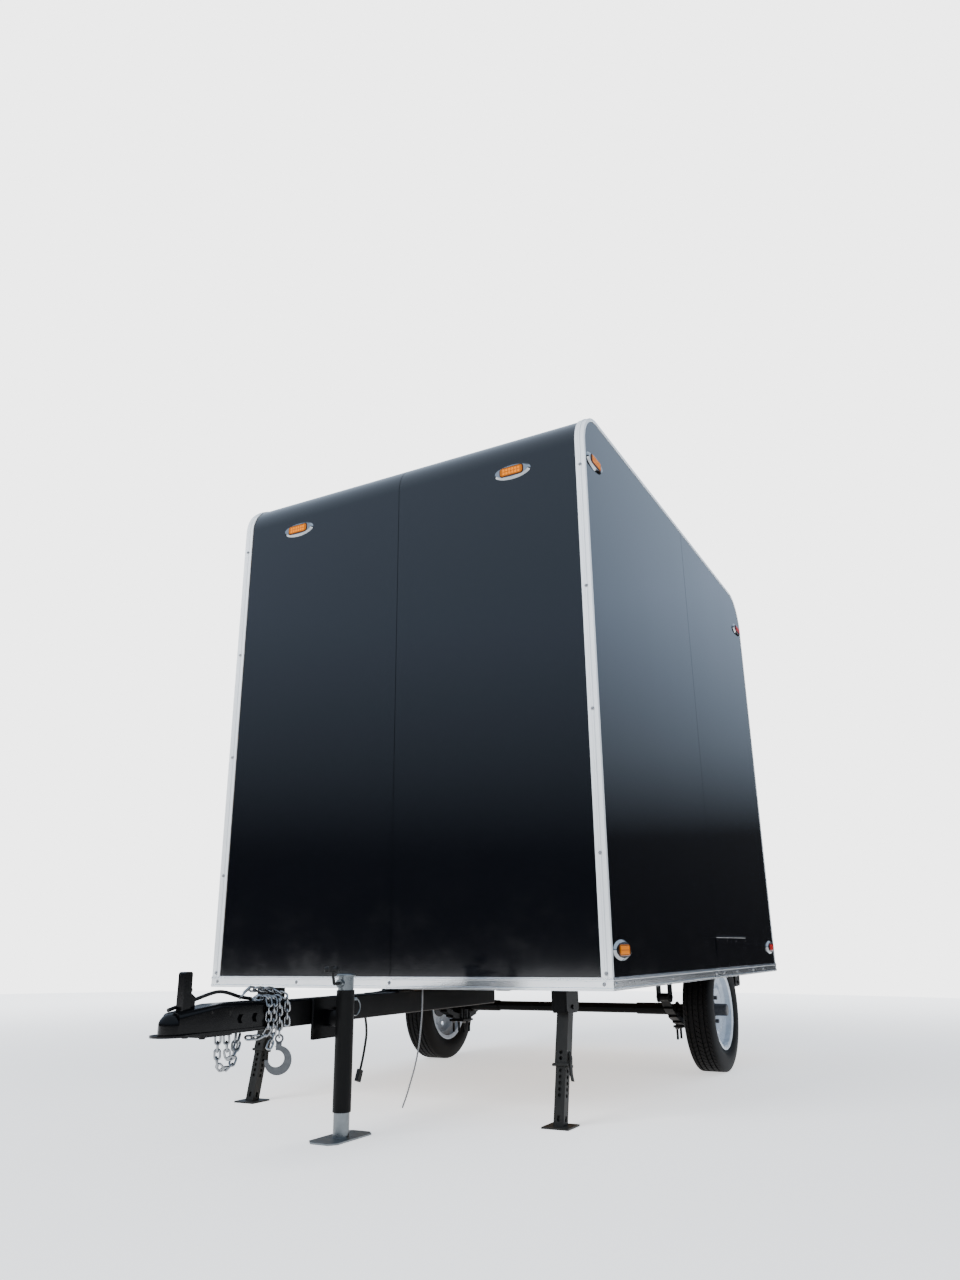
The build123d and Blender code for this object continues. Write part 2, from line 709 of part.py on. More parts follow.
# Jack: a bracket on the tongue's side, a sleeve that swivels on it, a cranked
# head and an inner tube with a foot
bracket_sheet = 7
bracket_half_length = 56
bracket_low_z = 299
bracket_high_z = 428
swivel_radius = 27
swivel_bore = 16
swivel_gap = 0.5
swivel_reach = 24
pull_ring_radius = 14
pull_ring_wire = 2
pull_pin_radius = 5
bracket_face_x = tongue_half + bracket_sheet
swivel_face_x = bracket_face_x + swivel_reach
with BuildPart() as jack_bracket:
    with BuildSketch(Plane.YZ.offset(tongue_half)) as plate:
        band(jack_y - 1.5 * bracket_half_length, jack_y + bracket_half_length,
             bracket_low_z, bracket_high_z)
        fillet(plate.vertices(), bracket_sheet)
    extrude(amount=bracket_sheet)
    with BuildSketch(Plane.YZ.offset(bracket_face_x)):
        with Locations((jack_y, jack_pivot_z)):
            Circle(swivel_radius)
            Circle(swivel_bore, mode=Mode.SUBTRACT)
    extrude(amount=swivel_reach)
    pin_y = jack_y + bracket_half_length - pull_ring_radius
    pin_z = jack_pivot_z + swivel_radius
    with BuildSketch(Plane.YZ.offset(bracket_face_x)):
        with Locations((pin_y, pin_z)):
            Circle(pull_pin_radius)
    extrude(amount=swivel_reach / 2)
    with BuildSketch(Plane.XY.offset(pin_z - pull_ring_wire)):
        with Locations((bracket_face_x + swivel_reach / 2, pin_y + pull_ring_radius)):
            Circle(pull_ring_radius)
            Circle(pull_ring_radius - 2 * pull_ring_wire, mode=Mode.SUBTRACT)
    extrude(amount=2 * pull_ring_wire)
save(jack_bracket.part, "jack_bracket")

with BuildPart() as jack_sleeve:
    with BuildSketch(Plane.XY.offset(jack_sleeve_bottom_z)):
        with Locations((jack_x, jack_y)):
            Circle(jack_sleeve_radius)
    extrude(amount=jack_sleeve_top_z - jack_sleeve_bottom_z)
    with BuildSketch(Plane.YZ.offset(swivel_face_x + swivel_gap)):
        with Locations((jack_y, jack_pivot_z)):
            Circle(swivel_radius)
    extrude(amount=jack_x - swivel_face_x - swivel_gap)
    with BuildSketch(Plane.YZ.offset(bracket_face_x + swivel_gap)):
        with Locations((jack_y, jack_pivot_z)):
            Circle(swivel_bore - swivel_gap)
    extrude(amount=jack_x - bracket_face_x)
    with BuildSketch(Plane.XY.offset(jack_sleeve_bottom_z - cut_overrun)):
        with Locations((jack_x, jack_y)):
            Circle(jack_tube_radius + jack_tube_gap)
    extrude(amount=jack_sleeve_top_z - jack_sleeve_bottom_z, mode=Mode.SUBTRACT)
save(jack_sleeve.part, "jack_sleeve")

# Jack head: a silver cap with a gear boss, and the crank that turns it
crank_reach = 92
crank_z = 521
crank_rod_radius = 5
knob_radius = 13
knob_height = 20
gear_boss_radius = 13
gear_boss_reach = 14
cap_height = 8
cap_lip = 3
with BuildPart() as jack_head:
    with BuildSketch(Plane.XY.offset(jack_sleeve_top_z)):
        with Locations((jack_x, jack_y)):
            Circle(jack_tube_radius)
    extrude(amount=jack_head_top_z - jack_sleeve_top_z)
    with BuildSketch(Plane.XY.offset(jack_head_top_z - cap_height)):
        with Locations((jack_x, jack_y)):
            Circle(jack_tube_radius + cap_lip)
    extrude(amount=cap_height)
    fillet(jack_head.edges().group_by(Axis.Z)[-1], cap_lip)
    with BuildSketch(Plane.XZ.offset(-jack_y)):
        with Locations((jack_x, (jack_sleeve_top_z + jack_head_top_z - cap_height) / 2)):
            Circle(gear_boss_radius)
    extrude(amount=jack_tube_radius + gear_boss_reach)
save(jack_head.part, "jack_head")

gear_z = (jack_sleeve_top_z + jack_head_top_z - cap_height) / 2
crank_face_y = jack_y - jack_tube_radius - gear_boss_reach
with BuildPart() as jack_crank:
    with BuildLine(Plane.YZ.offset(jack_x)) as crank_route:
        Polyline((crank_face_y, gear_z), (crank_face_y - 2 * gear_boss_radius, gear_z),
                 (crank_face_y - 3 * gear_boss_radius, crank_z))
    with BuildSketch(Plane.XZ.offset(-crank_face_y)):
        with Locations((jack_x, gear_z)):
            Circle(crank_rod_radius)
    sweep(path=crank_route.wires()[0], transition=Transition.ROUND)
    with BuildSketch(Plane.XY.offset(crank_z - knob_height / 2)):
        with Locations((jack_x, crank_face_y - 3 * gear_boss_radius)):
            Circle(knob_radius)
    extrude(amount=knob_height)
save(jack_crank.part, "jack_crank")

with BuildPart() as jack_tube:
    with BuildSketch(Plane.XY.offset(foot_sheet)):
        with Locations((jack_x, jack_y)):
            Circle(jack_tube_radius)
    extrude(amount=jack_tube_top_z - foot_sheet)
    with BuildSketch(Plane.XY) as foot:
        with Locations((jack_x, jack_y)):
            Rectangle(jack_foot_width, jack_foot_length)
        chamfer(foot.vertices(), jack_foot_width / 5)
    extrude(amount=foot_sheet)
save(jack_tube.part, "jack_tube")

# Drop-leg stabilizers. The front pair stand on the ground, leaning forward;
# the rear pair are folded up and point forward. Angles are from straight down,
# towards the tongue.
front_reach = leg_pivot_z / math.cos(math.radians(leg_lean))
rear_reach_folded = 270
leg_upper_length = 197
leg_table = (
    # name, pivot y, leg angle, sole angle, pivot to sole
    ("front", front_leg_y, leg_lean, 0, front_reach),
    ("rear", rear_leg_y, 90, 90 + leg_lean, rear_reach_folded),
)
leg_bracket_sheet = 5
leg_bracket_gap = 2
leg_bracket_length = 110
leg_bracket_drop = 79
leg_pin_radius = 8
leg_pin_gap = 0.4
leg_foot_side = 100
leg_hole_radius = 6.5
leg_hole_depth = 8
leg_hole_rises = (97, 116.5, 136, 155.5, 175, 214, 233.5)
leg_hole_clear = 130
leg_slot_rise = 26
leg_slot_length = 20
leg_slot_width = 12
leg_head = 24
leg_collar_lap = 5
leg_collar_sheet = 8
leg_tab_reach = 16
leg_lever_sheet = 6
leg_lever_half = 9
leg_lever_route = (
    # out from the leg's side, along the leg from its collar
    (-3, -46), (3, -30), (4, -4), (7, 22), (14, 46),
)


def down_and_forward(angle):
    """The direction at an angle from straight down, towards the tongue."""
    return Vector(0, -math.sin(math.radians(angle)), -math.cos(math.radians(angle)))


for leg_name, pivot_y, leg_angle, sole_angle, reach in leg_table:
    for side_name, side in sides:
        pivot = Vector(side * leg_x, pivot_y, leg_pivot_z)
        along = down_and_forward(leg_angle)
        leg_plane = Plane(origin=pivot, x_dir=(1, 0, 0), z_dir=along)
        sole = Plane(origin=pivot + along * reach, x_dir=(1, 0, 0),
                     z_dir=down_and_forward(sole_angle))
        with BuildPart() as leg:
            with BuildSketch(leg_plane.offset(-leg_head)):
                Rectangle(leg_side, leg_side)
            extrude(amount=leg_upper_length + leg_head)
            with BuildSketch(leg_plane.offset(leg_upper_length)):
                Rectangle(leg_inner_side, leg_inner_side)
            extrude(amount=reach - leg_upper_length)
            split(bisect_by=sole, keep=Keep.BOTTOM)
            with BuildSketch(sole):
                Rectangle(leg_foot_side, leg_foot_side)
            extrude(amount=-foot_sheet)
            with BuildSketch(leg_plane.offset(leg_upper_length - leg_collar_sheet)):
                Rectangle(leg_side + 2 * leg_collar_lap, leg_side + 2 * leg_collar_lap)
                with Locations((-leg_side / 2, 0)):
                    Rectangle(2 * leg_tab_reach, 2 * leg_lever_half)
            extrude(amount=leg_collar_sheet)
            lever_plane = Plane(origin=pivot + along * leg_upper_length
                                + Vector(leg_side / 2, 0, 0), x_dir=(1, 0, 0),
                                z_dir=Vector(1, 0, 0).cross(along))
            with BuildSketch(lever_plane):
                outer_route = [(out + leg_lever_sheet, down) for out, down in leg_lever_route]
                with BuildLine():
                    Polyline(*leg_lever_route, *outer_route[::-1], close=True)
                make_face()
            extrude(amount=leg_lever_half, both=True)
            across = Plane(origin=pivot + along * reach, x_dir=-along, z_dir=(1, 0, 0))
            fore_and_aft = Plane(origin=pivot + along * reach, x_dir=-along,
                                 z_dir=Vector(1, 0, 0).cross(along))
            for hole_plane in (across, fore_and_aft):
                for face in (-1, 1):
                    hole_bottom = leg_inner_side / 2 - leg_hole_depth
                    with BuildSketch(hole_plane.offset(face * hole_bottom)):
                        for rise in leg_hole_rises:
                            if reach - rise > leg_hole_clear:
                                with Locations((rise, 0)):
                                    Circle(leg_hole_radius)
                        with Locations((leg_slot_rise, 0)):
                            SlotOverall(leg_slot_length, leg_slot_width)
                    extrude(amount=face * (leg_side / 2 + leg_pin_gap - hole_bottom),
                            mode=Mode.SUBTRACT)
            with BuildSketch(Plane.YZ.offset(side * leg_x - leg_side)):
                with Locations((pivot_y, leg_pivot_z)):
                    Circle(leg_pin_radius + leg_pin_gap)
            extrude(amount=2 * leg_side, mode=Mode.SUBTRACT)
        save(leg.part, f"stabilizer_leg_{leg_name}_{side_name}")

leg_cheek_x = leg_side / 2 + leg_bracket_gap
with BuildPart() as stabilizer_brackets:
    for _, pivot_y, _, _, _ in leg_table:
        for _, side in sides:
            for face in (-1, 1):
                start_x = side * leg_x + face * leg_cheek_x
                with BuildSketch(Plane.YZ.offset(start_x)) as cheek:
                    band(pivot_y - leg_bracket_length / 2, pivot_y + leg_bracket_length / 2,
                         floor_z - leg_bracket_drop, floor_z)
                    fillet(cheek.vertices().group_by(Axis.Y)[0], leg_bracket_length / 5)
                extrude(amount=face * leg_bracket_sheet)
            with BuildSketch(Plane.YZ.offset(side * leg_x - leg_cheek_x)):
                band(pivot_y - leg_bracket_length / 2, pivot_y + leg_bracket_length / 2,
                     floor_z - leg_bracket_sheet, floor_z)
            extrude(amount=2 * leg_cheek_x)
            pin_half = leg_cheek_x + 2 * leg_bracket_sheet
            with BuildSketch(Plane.YZ.offset(side * leg_x - pin_half)):
                with Locations((pivot_y, leg_pivot_z)):
                    Circle(leg_pin_radius)
            extrude(amount=2 * pin_half)
save(stabilizer_brackets.part, "stabilizer_brackets")

# Lamps: an oval bezel on the skin round a raised lens
bezel_length = 175
bezel_width = 72
bezel_height = 9
bezel_slope = 9
lens_slope = 35
lens_length = 114
lens_width = 45
lens_height = 14
lens_fit = 0.4
front_lamp_share = 0.635
front_lamp_x = half_width * front_lamp_share
upper_lamp_drop = 224
upper_lamp_z = roof_z - upper_lamp_drop
lower_lamp_z = 570
side_front_lamp_y = front_y + 108
side_rear_lamp_y = rear_y - 110
tail_lamp_z = 800
tail_lamp_x = inner_half - post_width / 2
tail_lamp_width = 50


def face_plane(x, y, z, outward, along):
    """A plane on an outside face of the body, its X along the lamp."""
    return Plane(origin=(x, y, z), x_dir=along, z_dir=outward)


amber_planes = []
red_planes = []
for _, side in sides:
    amber_planes.append(face_plane(side * front_lamp_x, front_y, upper_lamp_z,
                                   (0, -1, 0), (1, 0, 0)))
    for lamp_z in (upper_lamp_z, lower_lamp_z):
        amber_planes.append(face_plane(side * half_width, side_front_lamp_y, lamp_z,
                                       (side, 0, 0), (0, 1, 0)))
        red_planes.append(face_plane(side * half_width, side_rear_lamp_y, lamp_z,
                                     (side, 0, 0), (0, 1, 0)))
with BuildPart() as lamp_bezels:
    for lamp_plane in amber_planes + red_planes:
        with BuildSketch(lamp_plane):
            Ellipse(bezel_length / 2, bezel_width / 2)
        with BuildSketch(lamp_plane.offset(bezel_height)):
            Ellipse(bezel_length / 2 - bezel_slope, bezel_width / 2 - bezel_slope)
        loft()
        with BuildSketch(lamp_plane):
            RectangleRounded(lens_length + 2 * lens_fit, lens_width + 2 * lens_fit,
                             lens_width / 3)
        extrude(amount=bezel_height, mode=Mode.SUBTRACT)
save(lamp_bezels.part, "lamp_bezels")
for name, planes in (("lamp_lenses_amber", amber_planes), ("lamp_lenses_red", red_planes)):
    with BuildPart() as lenses:
        for lamp_plane in planes:
            with BuildSketch(lamp_plane):
                RectangleRounded(lens_length, lens_width, lens_width / 3)
            extrude(amount=bezel_height)
            with BuildSketch(lamp_plane.offset(bezel_height)):
                RectangleRounded(lens_length, lens_width, lens_width / 3)
            extrude(amount=lens_height - bezel_height, taper=lens_slope)
    save(lenses.part, name)

tail_lamp_length = 152
tail_lamp_height = 10
with BuildPart() as tail_lamps:
    for _, side in sides:
        with BuildSketch(face_plane(side * tail_lamp_x, rear_y, tail_lamp_z,
                                    (0, 1, 0), (0, 0, 1))):
            SlotOverall(tail_lamp_length, tail_lamp_width)
        extrude(amount=tail_lamp_height)
save(tail_lamps.part, "tail_lamps")

# Rear doors on strap hinges, each with a lock rod and its handle
door_thickness = wall
door_low_z = floor_top_z + door_gap
door_high_z = door_head_z - door_gap
door_outer_x = doorway_half - door_gap
hinge_x = doorway_half - door_gap / 2
lock_rod_x = 90
rod_guide_shares = (0.08, 0.36, 0.64, 0.92)
rod_guide_half = 18
rod_guide_sheet = 30
handle_length = 260
handle_height = 34
handle_sheet = 6
handle_z = 1150
hinge_zs = [door_low_z + (door_high_z - door_low_z) * share for share in hinge_rise_shares]
for side_name, side in sides:
    with BuildPart() as door:
        with BuildSketch(Plane.XZ.offset(-rear_y)):
            with Locations((side * (door_meeting_gap / 2 + door_outer_x) / 2,
                            (door_low_z + door_high_z) / 2)):
                Rectangle(door_outer_x - door_meeting_gap / 2, door_high_z - door_low_z)
        extrude(amount=door_thickness)
        for hinge_z in hinge_zs:
            knuckle_z = hinge_z + hinge_pin_gap
            with BuildSketch(Plane.XY.offset(knuckle_z)):
                with Locations((side * hinge_x, rear_y + hinge_offset)):
                    Circle(hinge_radius)
                with Locations((side * (hinge_x - hinge_strap / 2), rear_y + hinge_sheet / 2)):
                    Rectangle(hinge_strap, hinge_sheet)
                with Locations((side * hinge_x, rear_y + hinge_offset)):
                    Circle(hinge_pin_radius + hinge_pin_gap, mode=Mode.SUBTRACT)
            extrude(amount=hinge_height / 2 - hinge_pin_gap)
    save(door.part, f"door_{side_name}")

    with BuildPart() as lock_rod:
        rod_y = rear_y + lock_rod_offset
        with BuildSketch(Plane.XY.offset(door_low_z)):
            with Locations((side * lock_rod_x, rod_y)):
                Circle(lock_rod_radius)
        extrude(amount=door_high_z - door_low_z)
        for share in rod_guide_shares:
            guide_z = door_low_z + (door_high_z - door_low_z) * share
            with BuildSketch(Plane.XY.offset(guide_z - rod_guide_sheet / 2)):
                with Locations((side * lock_rod_x, rear_y + lock_rod_offset / 2)):
                    Rectangle(2 * rod_guide_half, lock_rod_offset)
            extrude(amount=rod_guide_sheet)
        with BuildSketch(Plane.XZ.offset(-(rod_y + handle_sheet / 2))):
            with Locations((side * (lock_rod_x + handle_length / 2), handle_z)):
                Rectangle(handle_length, handle_height)
        extrude(amount=handle_sheet)
    save(lock_rod.part, f"lock_rod_{side_name}")

with BuildPart() as door_hinges:
    for _, side in sides:
        for hinge_z in hinge_zs:
            with BuildSketch(Plane.XY.offset(hinge_z - hinge_height / 2)):
                with Locations((side * hinge_x, rear_y + hinge_offset)):
                    Circle(hinge_radius)
                with Locations((side * (doorway_half + hinge_leaf / 2),
                                rear_y + hinge_sheet / 2)):
                    Rectangle(hinge_leaf, hinge_sheet)
            extrude(amount=hinge_height / 2)
            with BuildSketch(Plane.XY.offset(hinge_z)):
                with Locations((side * hinge_x, rear_y + hinge_offset)):
                    Circle(hinge_pin_radius)
            extrude(amount=hinge_height / 2)
save(door_hinges.part, "door_hinges")

# Safety chains: eight-sided links along a route, each a quarter turn from the last
# and rolled, as a chain lies on a flat top
link_length = 36
link_width = 23
link_wire = 7
link_slack = 0.6
link_roll = 50
link_rest_share = 0.5
link_pitch = link_length - 2 * link_wire - link_slack
chain_stand_off = link_width / 2 + coupler_fit


def link_planes(route):
    """A plane for each link along a route, its X along the chain."""
    planes = []
    for number in range(int(route.length / link_pitch)):
        place = (number + 0.5) * link_pitch / route.length
        along = route % place
        across = along.cross(Vector(0, 1, 0))
        if across.length < link_rest_share:
            across = along.cross(Vector(1, 0, 0))
        roll = link_roll + (90 if number % 2 else 0)
        flat = across.rotate(Axis((0, 0, 0), along), roll)
        planes.append(Plane(origin=route @ place, x_dir=along, z_dir=flat))
    return planes


side_x = tongue_half + chain_stand_off
over_z = tongue_top_z + chain_stand_off
pile_z = over_z + link_width + coupler_fit
under_z = tongue_bottom_z - chain_stand_off
hang_z = tongue_bottom_z - (link_length - link_pitch) / 2 - coupler_fit
chain_bend = 14
chain_table = (
    # name, strands of points: x, distance behind the nose, z
    ("safety_chain", (
        ((-side_x, 455, 345), (-side_x, 455, over_z), (side_x, 459, over_z),
         (side_x, 467, 318)),
        ((2, 409, over_z), (side_x, 409, over_z), (side_x, 411, 345),
         (side_x - 12, 398, under_z - 7), (side_x / 2 - 4, 345, under_z - 7)),
        ((2, 434, over_z), (side_x, 434, over_z), (side_x, 436, 322), (side_x, 412, 285)),
        ((6, 330, over_z + 7), (8, 356, pile_z + 6), (14, 466, pile_z),
         (side_x, 497, over_z), (side_x, 501, 352)),
    )),
    ("spare_chain", (
        ((-32, 282, hang_z), (-32, 286, 262), (-32, 306, 243), (-32, 340, 243),
         (-32, 356, 262), (-32, 360, hang_z)),
        ((-6, 290, hang_z), (-6, 300, 285), (-6, 318, 268), (-6, 334, 285), (-6, 350, hang_z)),
    )),
)
chain_ends = {}
for name, strands in chain_table:
    with BuildPart() as chain:
        for strand in strands:
            points = [(x, nose_y + behind, z) for x, behind, z in strand]
            with BuildLine() as route:
                FilletPolyline(*points, radius=chain_bend)
            planes = link_planes(route.wires()[0])
            for link_plane in planes:
                with BuildSketch(link_plane) as link:
                    Rectangle(link_length, link_width)
                    chamfer(link.vertices(), link_wire)
                    Rectangle(link_length - 2 * link_wire, link_width - 2 * link_wire,
                              mode=Mode.SUBTRACT)
                extrude(amount=link_wire / 2, both=True)
            chain_ends.setdefault(name, planes[-1])
    save(chain.part, name)

# Forged slip hook, its eye threaded on the last link of the first strand
hook_radius = 42
hook_throat_radius = 25
hook_throat_rise = 5
hook_throat_shift = 6
hook_half = 8
hook_eye_radius = 8
hook_eye_half = 2.5
hook_eye_wire = 6
hook_gap = 1.1
hook_shank_half = 9
hook_shank_length = 22
hook_mouth = 17
last_link = chain_ends["safety_chain"]
hook_eye = last_link.origin + last_link.x_dir * (link_length / 2 - link_wire + hook_eye_radius
                                                - hook_gap)
hook_face = Vector(0, 0, 1).cross(last_link.z_dir)
hook_plane = Plane(origin=hook_eye, x_dir=Vector(0, 0, 1).cross(hook_face), z_dir=hook_face)
hook_center_drop = hook_eye_radius + hook_shank_length + hook_radius - hook_shank_half
with BuildPart() as chain_hook:
    with BuildSketch(hook_plane):
        with Locations((0, -hook_center_drop)):
            Circle(hook_radius)
        with Locations((-hook_throat_shift, hook_throat_rise - hook_center_drop)):
            Circle(hook_throat_radius, mode=Mode.SUBTRACT)
        with Locations((-hook_radius, hook_radius / 2 - hook_center_drop)):
            Rectangle(2 * hook_radius - 2 * hook_shank_half, hook_mouth + hook_radius / 2,
                      mode=Mode.SUBTRACT)
        with Locations((0, -hook_eye_radius - hook_shank_length / 2)):
            Rectangle(2 * hook_shank_half, hook_shank_length)
        Circle(hook_eye_radius, mode=Mode.SUBTRACT)
    extrude(amount=hook_half, both=True)
    with BuildSketch(hook_plane):
        Circle(hook_eye_radius + hook_eye_wire)
    extrude(amount=hook_half, both=True, mode=Mode.SUBTRACT)
    with BuildSketch(hook_plane):
        Circle(hook_eye_radius + hook_eye_wire)
        Circle(hook_eye_radius, mode=Mode.SUBTRACT)
    extrude(amount=hook_eye_half, both=True)
save(chain_hook.part, "chain_hook")

run_share = 0.45


def bend_radii(points):
    """Each bend is as large as the runs on its two sides allow."""
    radii = []
    for before, point, after in zip(points, points[1:], points[2:]):
        run_in = Vector(point) - Vector(before)
        run_out = Vector(after) - Vector(point)
        turn = math.radians(run_in.get_angle(run_out))
        radii.append(run_share * min(run_in.length, run_out.length) / math.tan(turn / 2))
    return radii


# Cords: a stiff cable over the coupler, a lead with its plug under the tongue,
# and a thin cable from the frame to the ground
cord_table = (
    # name, radius, route
    ("breakaway_cable", 5.5, (
        (-20, -1547, 437.9), (-20, -1596, 443.6), (-20, -1652, 460), (-20, -1696, 466),
        (-20, -1742, 458), (-20, -1796, 445.5), (-20, -1848, 433), (-20, -1893, 422.9))),
    ("light_cable", 4.5, (
        (0, -945, 345.6), (2, -934, 300), (0, -942, 250), (1, -956, 205), (0, -968, 172))),
    ("ground_cable", 3, (
        (137, -768, 436.8), (139, -770, 380), (134, -768, 326), (127, -766, 270),
        (117, -765, 214), (104, -766, 160), (86, -767, 108), (70, -767, 62), (52, -766, 24))),
)
for name, cord_radius, route in cord_table:
    with BuildPart() as cord:
        with BuildLine() as path:
            FilletPolyline(*route, radius=bend_radii(route))
        route_wire = path.wires()[0]
        with BuildSketch(Plane(origin=route[0], z_dir=route_wire % 0)):
            Circle(cord_radius)
        sweep(path=route_wire)
    save(cord.part, name)

# Plug on the end of the lead, in line with it
plug_length = 40
plug_width = 26
plug_thickness = 14
lead_route = cord_table[1][2]
lead_end = Vector(lead_route[-1])
with BuildPart() as light_plug:
    with BuildSketch(Plane(origin=lead_end, x_dir=(1, 0, 0),
                           z_dir=lead_end - Vector(lead_route[-2]))):
        RectangleRounded(plug_thickness, plug_width, plug_thickness / 4)
    extrude(amount=plug_length)
save(light_plug.part, "light_plug")
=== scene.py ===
import json
import math

import bmesh
import bpy
from mathutils import Matrix, Vector


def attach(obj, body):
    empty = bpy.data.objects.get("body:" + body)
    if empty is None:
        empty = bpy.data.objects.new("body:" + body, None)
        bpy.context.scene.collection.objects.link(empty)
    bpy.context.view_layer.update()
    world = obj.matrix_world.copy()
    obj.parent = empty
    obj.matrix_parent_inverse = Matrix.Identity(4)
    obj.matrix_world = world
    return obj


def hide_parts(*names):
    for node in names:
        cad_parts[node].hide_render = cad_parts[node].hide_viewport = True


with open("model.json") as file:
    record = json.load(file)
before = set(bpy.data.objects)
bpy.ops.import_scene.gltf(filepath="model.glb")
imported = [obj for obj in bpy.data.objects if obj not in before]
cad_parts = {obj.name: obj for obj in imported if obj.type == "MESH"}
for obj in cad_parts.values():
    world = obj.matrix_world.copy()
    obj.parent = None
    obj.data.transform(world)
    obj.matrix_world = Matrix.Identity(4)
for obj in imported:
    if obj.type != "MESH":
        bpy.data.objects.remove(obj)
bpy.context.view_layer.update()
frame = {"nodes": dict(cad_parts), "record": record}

# Camera
# The photograph is taken from low down, off the left front corner, with a wide
# lens that looks up at the body. The place and angles are a fit to its edges.
camera_place = Vector((2.108, -3.945, 0.580))
camera_yaw, camera_pitch, camera_roll = (math.radians(a) for a in (28.2144, 18.6515, -0.6698))
ahead = Vector((-math.sin(camera_yaw) * math.cos(camera_pitch),
                math.cos(camera_yaw) * math.cos(camera_pitch), math.sin(camera_pitch)))
level_right = Vector((math.cos(camera_yaw), math.sin(camera_yaw), 0))
level_up = level_right.cross(ahead)
right = level_right * math.cos(camera_roll) + level_up * math.sin(camera_roll)
up = right.cross(ahead)
camera_data = bpy.data.cameras.new("camera")
camera_data.lens = 25.725
camera_data.sensor_width = 36
camera = bpy.data.objects.new("camera", camera_data)
camera.matrix_world = Matrix((right, up, -ahead)).transposed().to_4x4()
camera.location = camera_place
bpy.context.scene.collection.objects.link(camera)
bpy.context.scene.camera = camera


# Cables
# A stiff black cable arches over the coupler, a lead with a moulded plug hangs
# from the tongue, and a thin steel cable hangs from the frame to the ground.
class Socket:
    """One output of a node. Sums, differences and products of it add Math nodes."""

    def __init__(self, tree, output):
        self.tree = tree
        self.output = output

    def node(self, kind, settings=None, values=None, give=0):
        """The output of a new node. Values may be Sockets; stops fill a colour ramp."""
        made = self.tree.nodes.new(kind)
        for name, value in (settings or {}).items():
            if name == "stops":
                stops = made.color_ramp.elements
                while len(stops) < len(value):
                    stops.new(0.5)
                for stop, (place, shade) in zip(stops, value):
                    stop.position = place
                    stop.color = (*shade, 1)
            else:
                setattr(made, name, value)
        for name, value in (values or {}).items():
            if isinstance(value, Socket):
                self.tree.links.new(value.output, made.inputs[name])
            else:
                made.inputs[name].default_value = value
        return Socket(self.tree, made.outputs[give])

    def math(self, operation, first, second=0.0):
        return self.node("ShaderNodeMath", {"operation": operation}, {0: first, 1: second})

    def __add__(self, other):
        return self.math("ADD", self, other)

    def __radd__(self, other):
        return self.math("ADD", other, self)

    def __sub__(self, other):
        return self.math("SUBTRACT", self, other)

    def __rsub__(self, other):
        return self.math("SUBTRACT", other, self)

    def __mul__(self, other):
        return self.math("MULTIPLY", self, other)

    def absolute(self):
        return self.math("ABSOLUTE", self)

    def noise(self, scale, detail=3, roughness=0.5):
        return self.node("ShaderNodeTexNoise", None, {
            "Vector": self, "Scale": scale, "Detail": detail, "Roughness": roughness})

    def band(self, low, high):
        """0 below low, 1 above high, smooth between."""
        return self.node("ShaderNodeMapRange", {"interpolation_type": "SMOOTHSTEP"},
                         {"Value": self, "From Min": low, "From Max": high})

    def near(self, target, reach):
        """1 at a target value, fading to 0 at reach to either side."""
        return 1 - (self - target).absolute().band(reach * 0.4, reach)

    def stretch(self, x, y, z):
        return self.node("ShaderNodeMapping", None, {"Vector": self, "Scale": (x, y, z)})

    def along(self, axis):
        return self.node("ShaderNodeSeparateXYZ", None, {"Vector": self}, give=axis)

    def tint(self, low, high):
        """A colour between two colours, picked by this value."""
        return self.node("ShaderNodeMix", {"data_type": "RGBA"},
                         {"Factor": self, 6: (*low, 1), 7: (*high, 1)}, give=2)

    def bump(self, strength, distance):
        return self.node("ShaderNodeBump", None,
                         {"Height": self, "Strength": strength, "Distance": distance})


def new_finish(name):
    """A new material and its object coordinates."""
    finish = bpy.data.materials.new(name)
    finish.use_nodes = True
    finish.node_tree.nodes.clear()
    return finish, Socket(finish.node_tree, None).node("ShaderNodeTexCoord", give="Object")


def close_finish(place, **values):
    """End a material's nodes in one shader; an underscore in a name is a space."""
    named = {name.replace("_", " "): value for name, value in values.items()}
    shader = place.node("ShaderNodeBsdfPrincipled", None, named)
    last = place.tree.nodes.new("ShaderNodeOutputMaterial")
    place.tree.links.new(shader.output, last.inputs["Surface"])


def seat(piece, body, node=None):
    """Set a piece on its body, in place of a CAD node if any."""
    bpy.context.scene.collection.objects.link(piece)
    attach(piece, body)
    if node:
        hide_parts(node)


def plain_line(curve):
    """The points that a curve follows, in order."""
    bare = curve.copy()
    bare.bevel_depth = 0
    holder = bpy.data.objects.new("bare", bare)
    bpy.context.scene.collection.objects.link(holder)
    bpy.context.view_layer.update()
    line = bpy.data.meshes.new_from_object(
        holder.evaluated_get(bpy.context.evaluated_depsgraph_get()))
    bpy.data.objects.remove(holder)
    return [vertex.co.copy() for vertex in line.vertices]


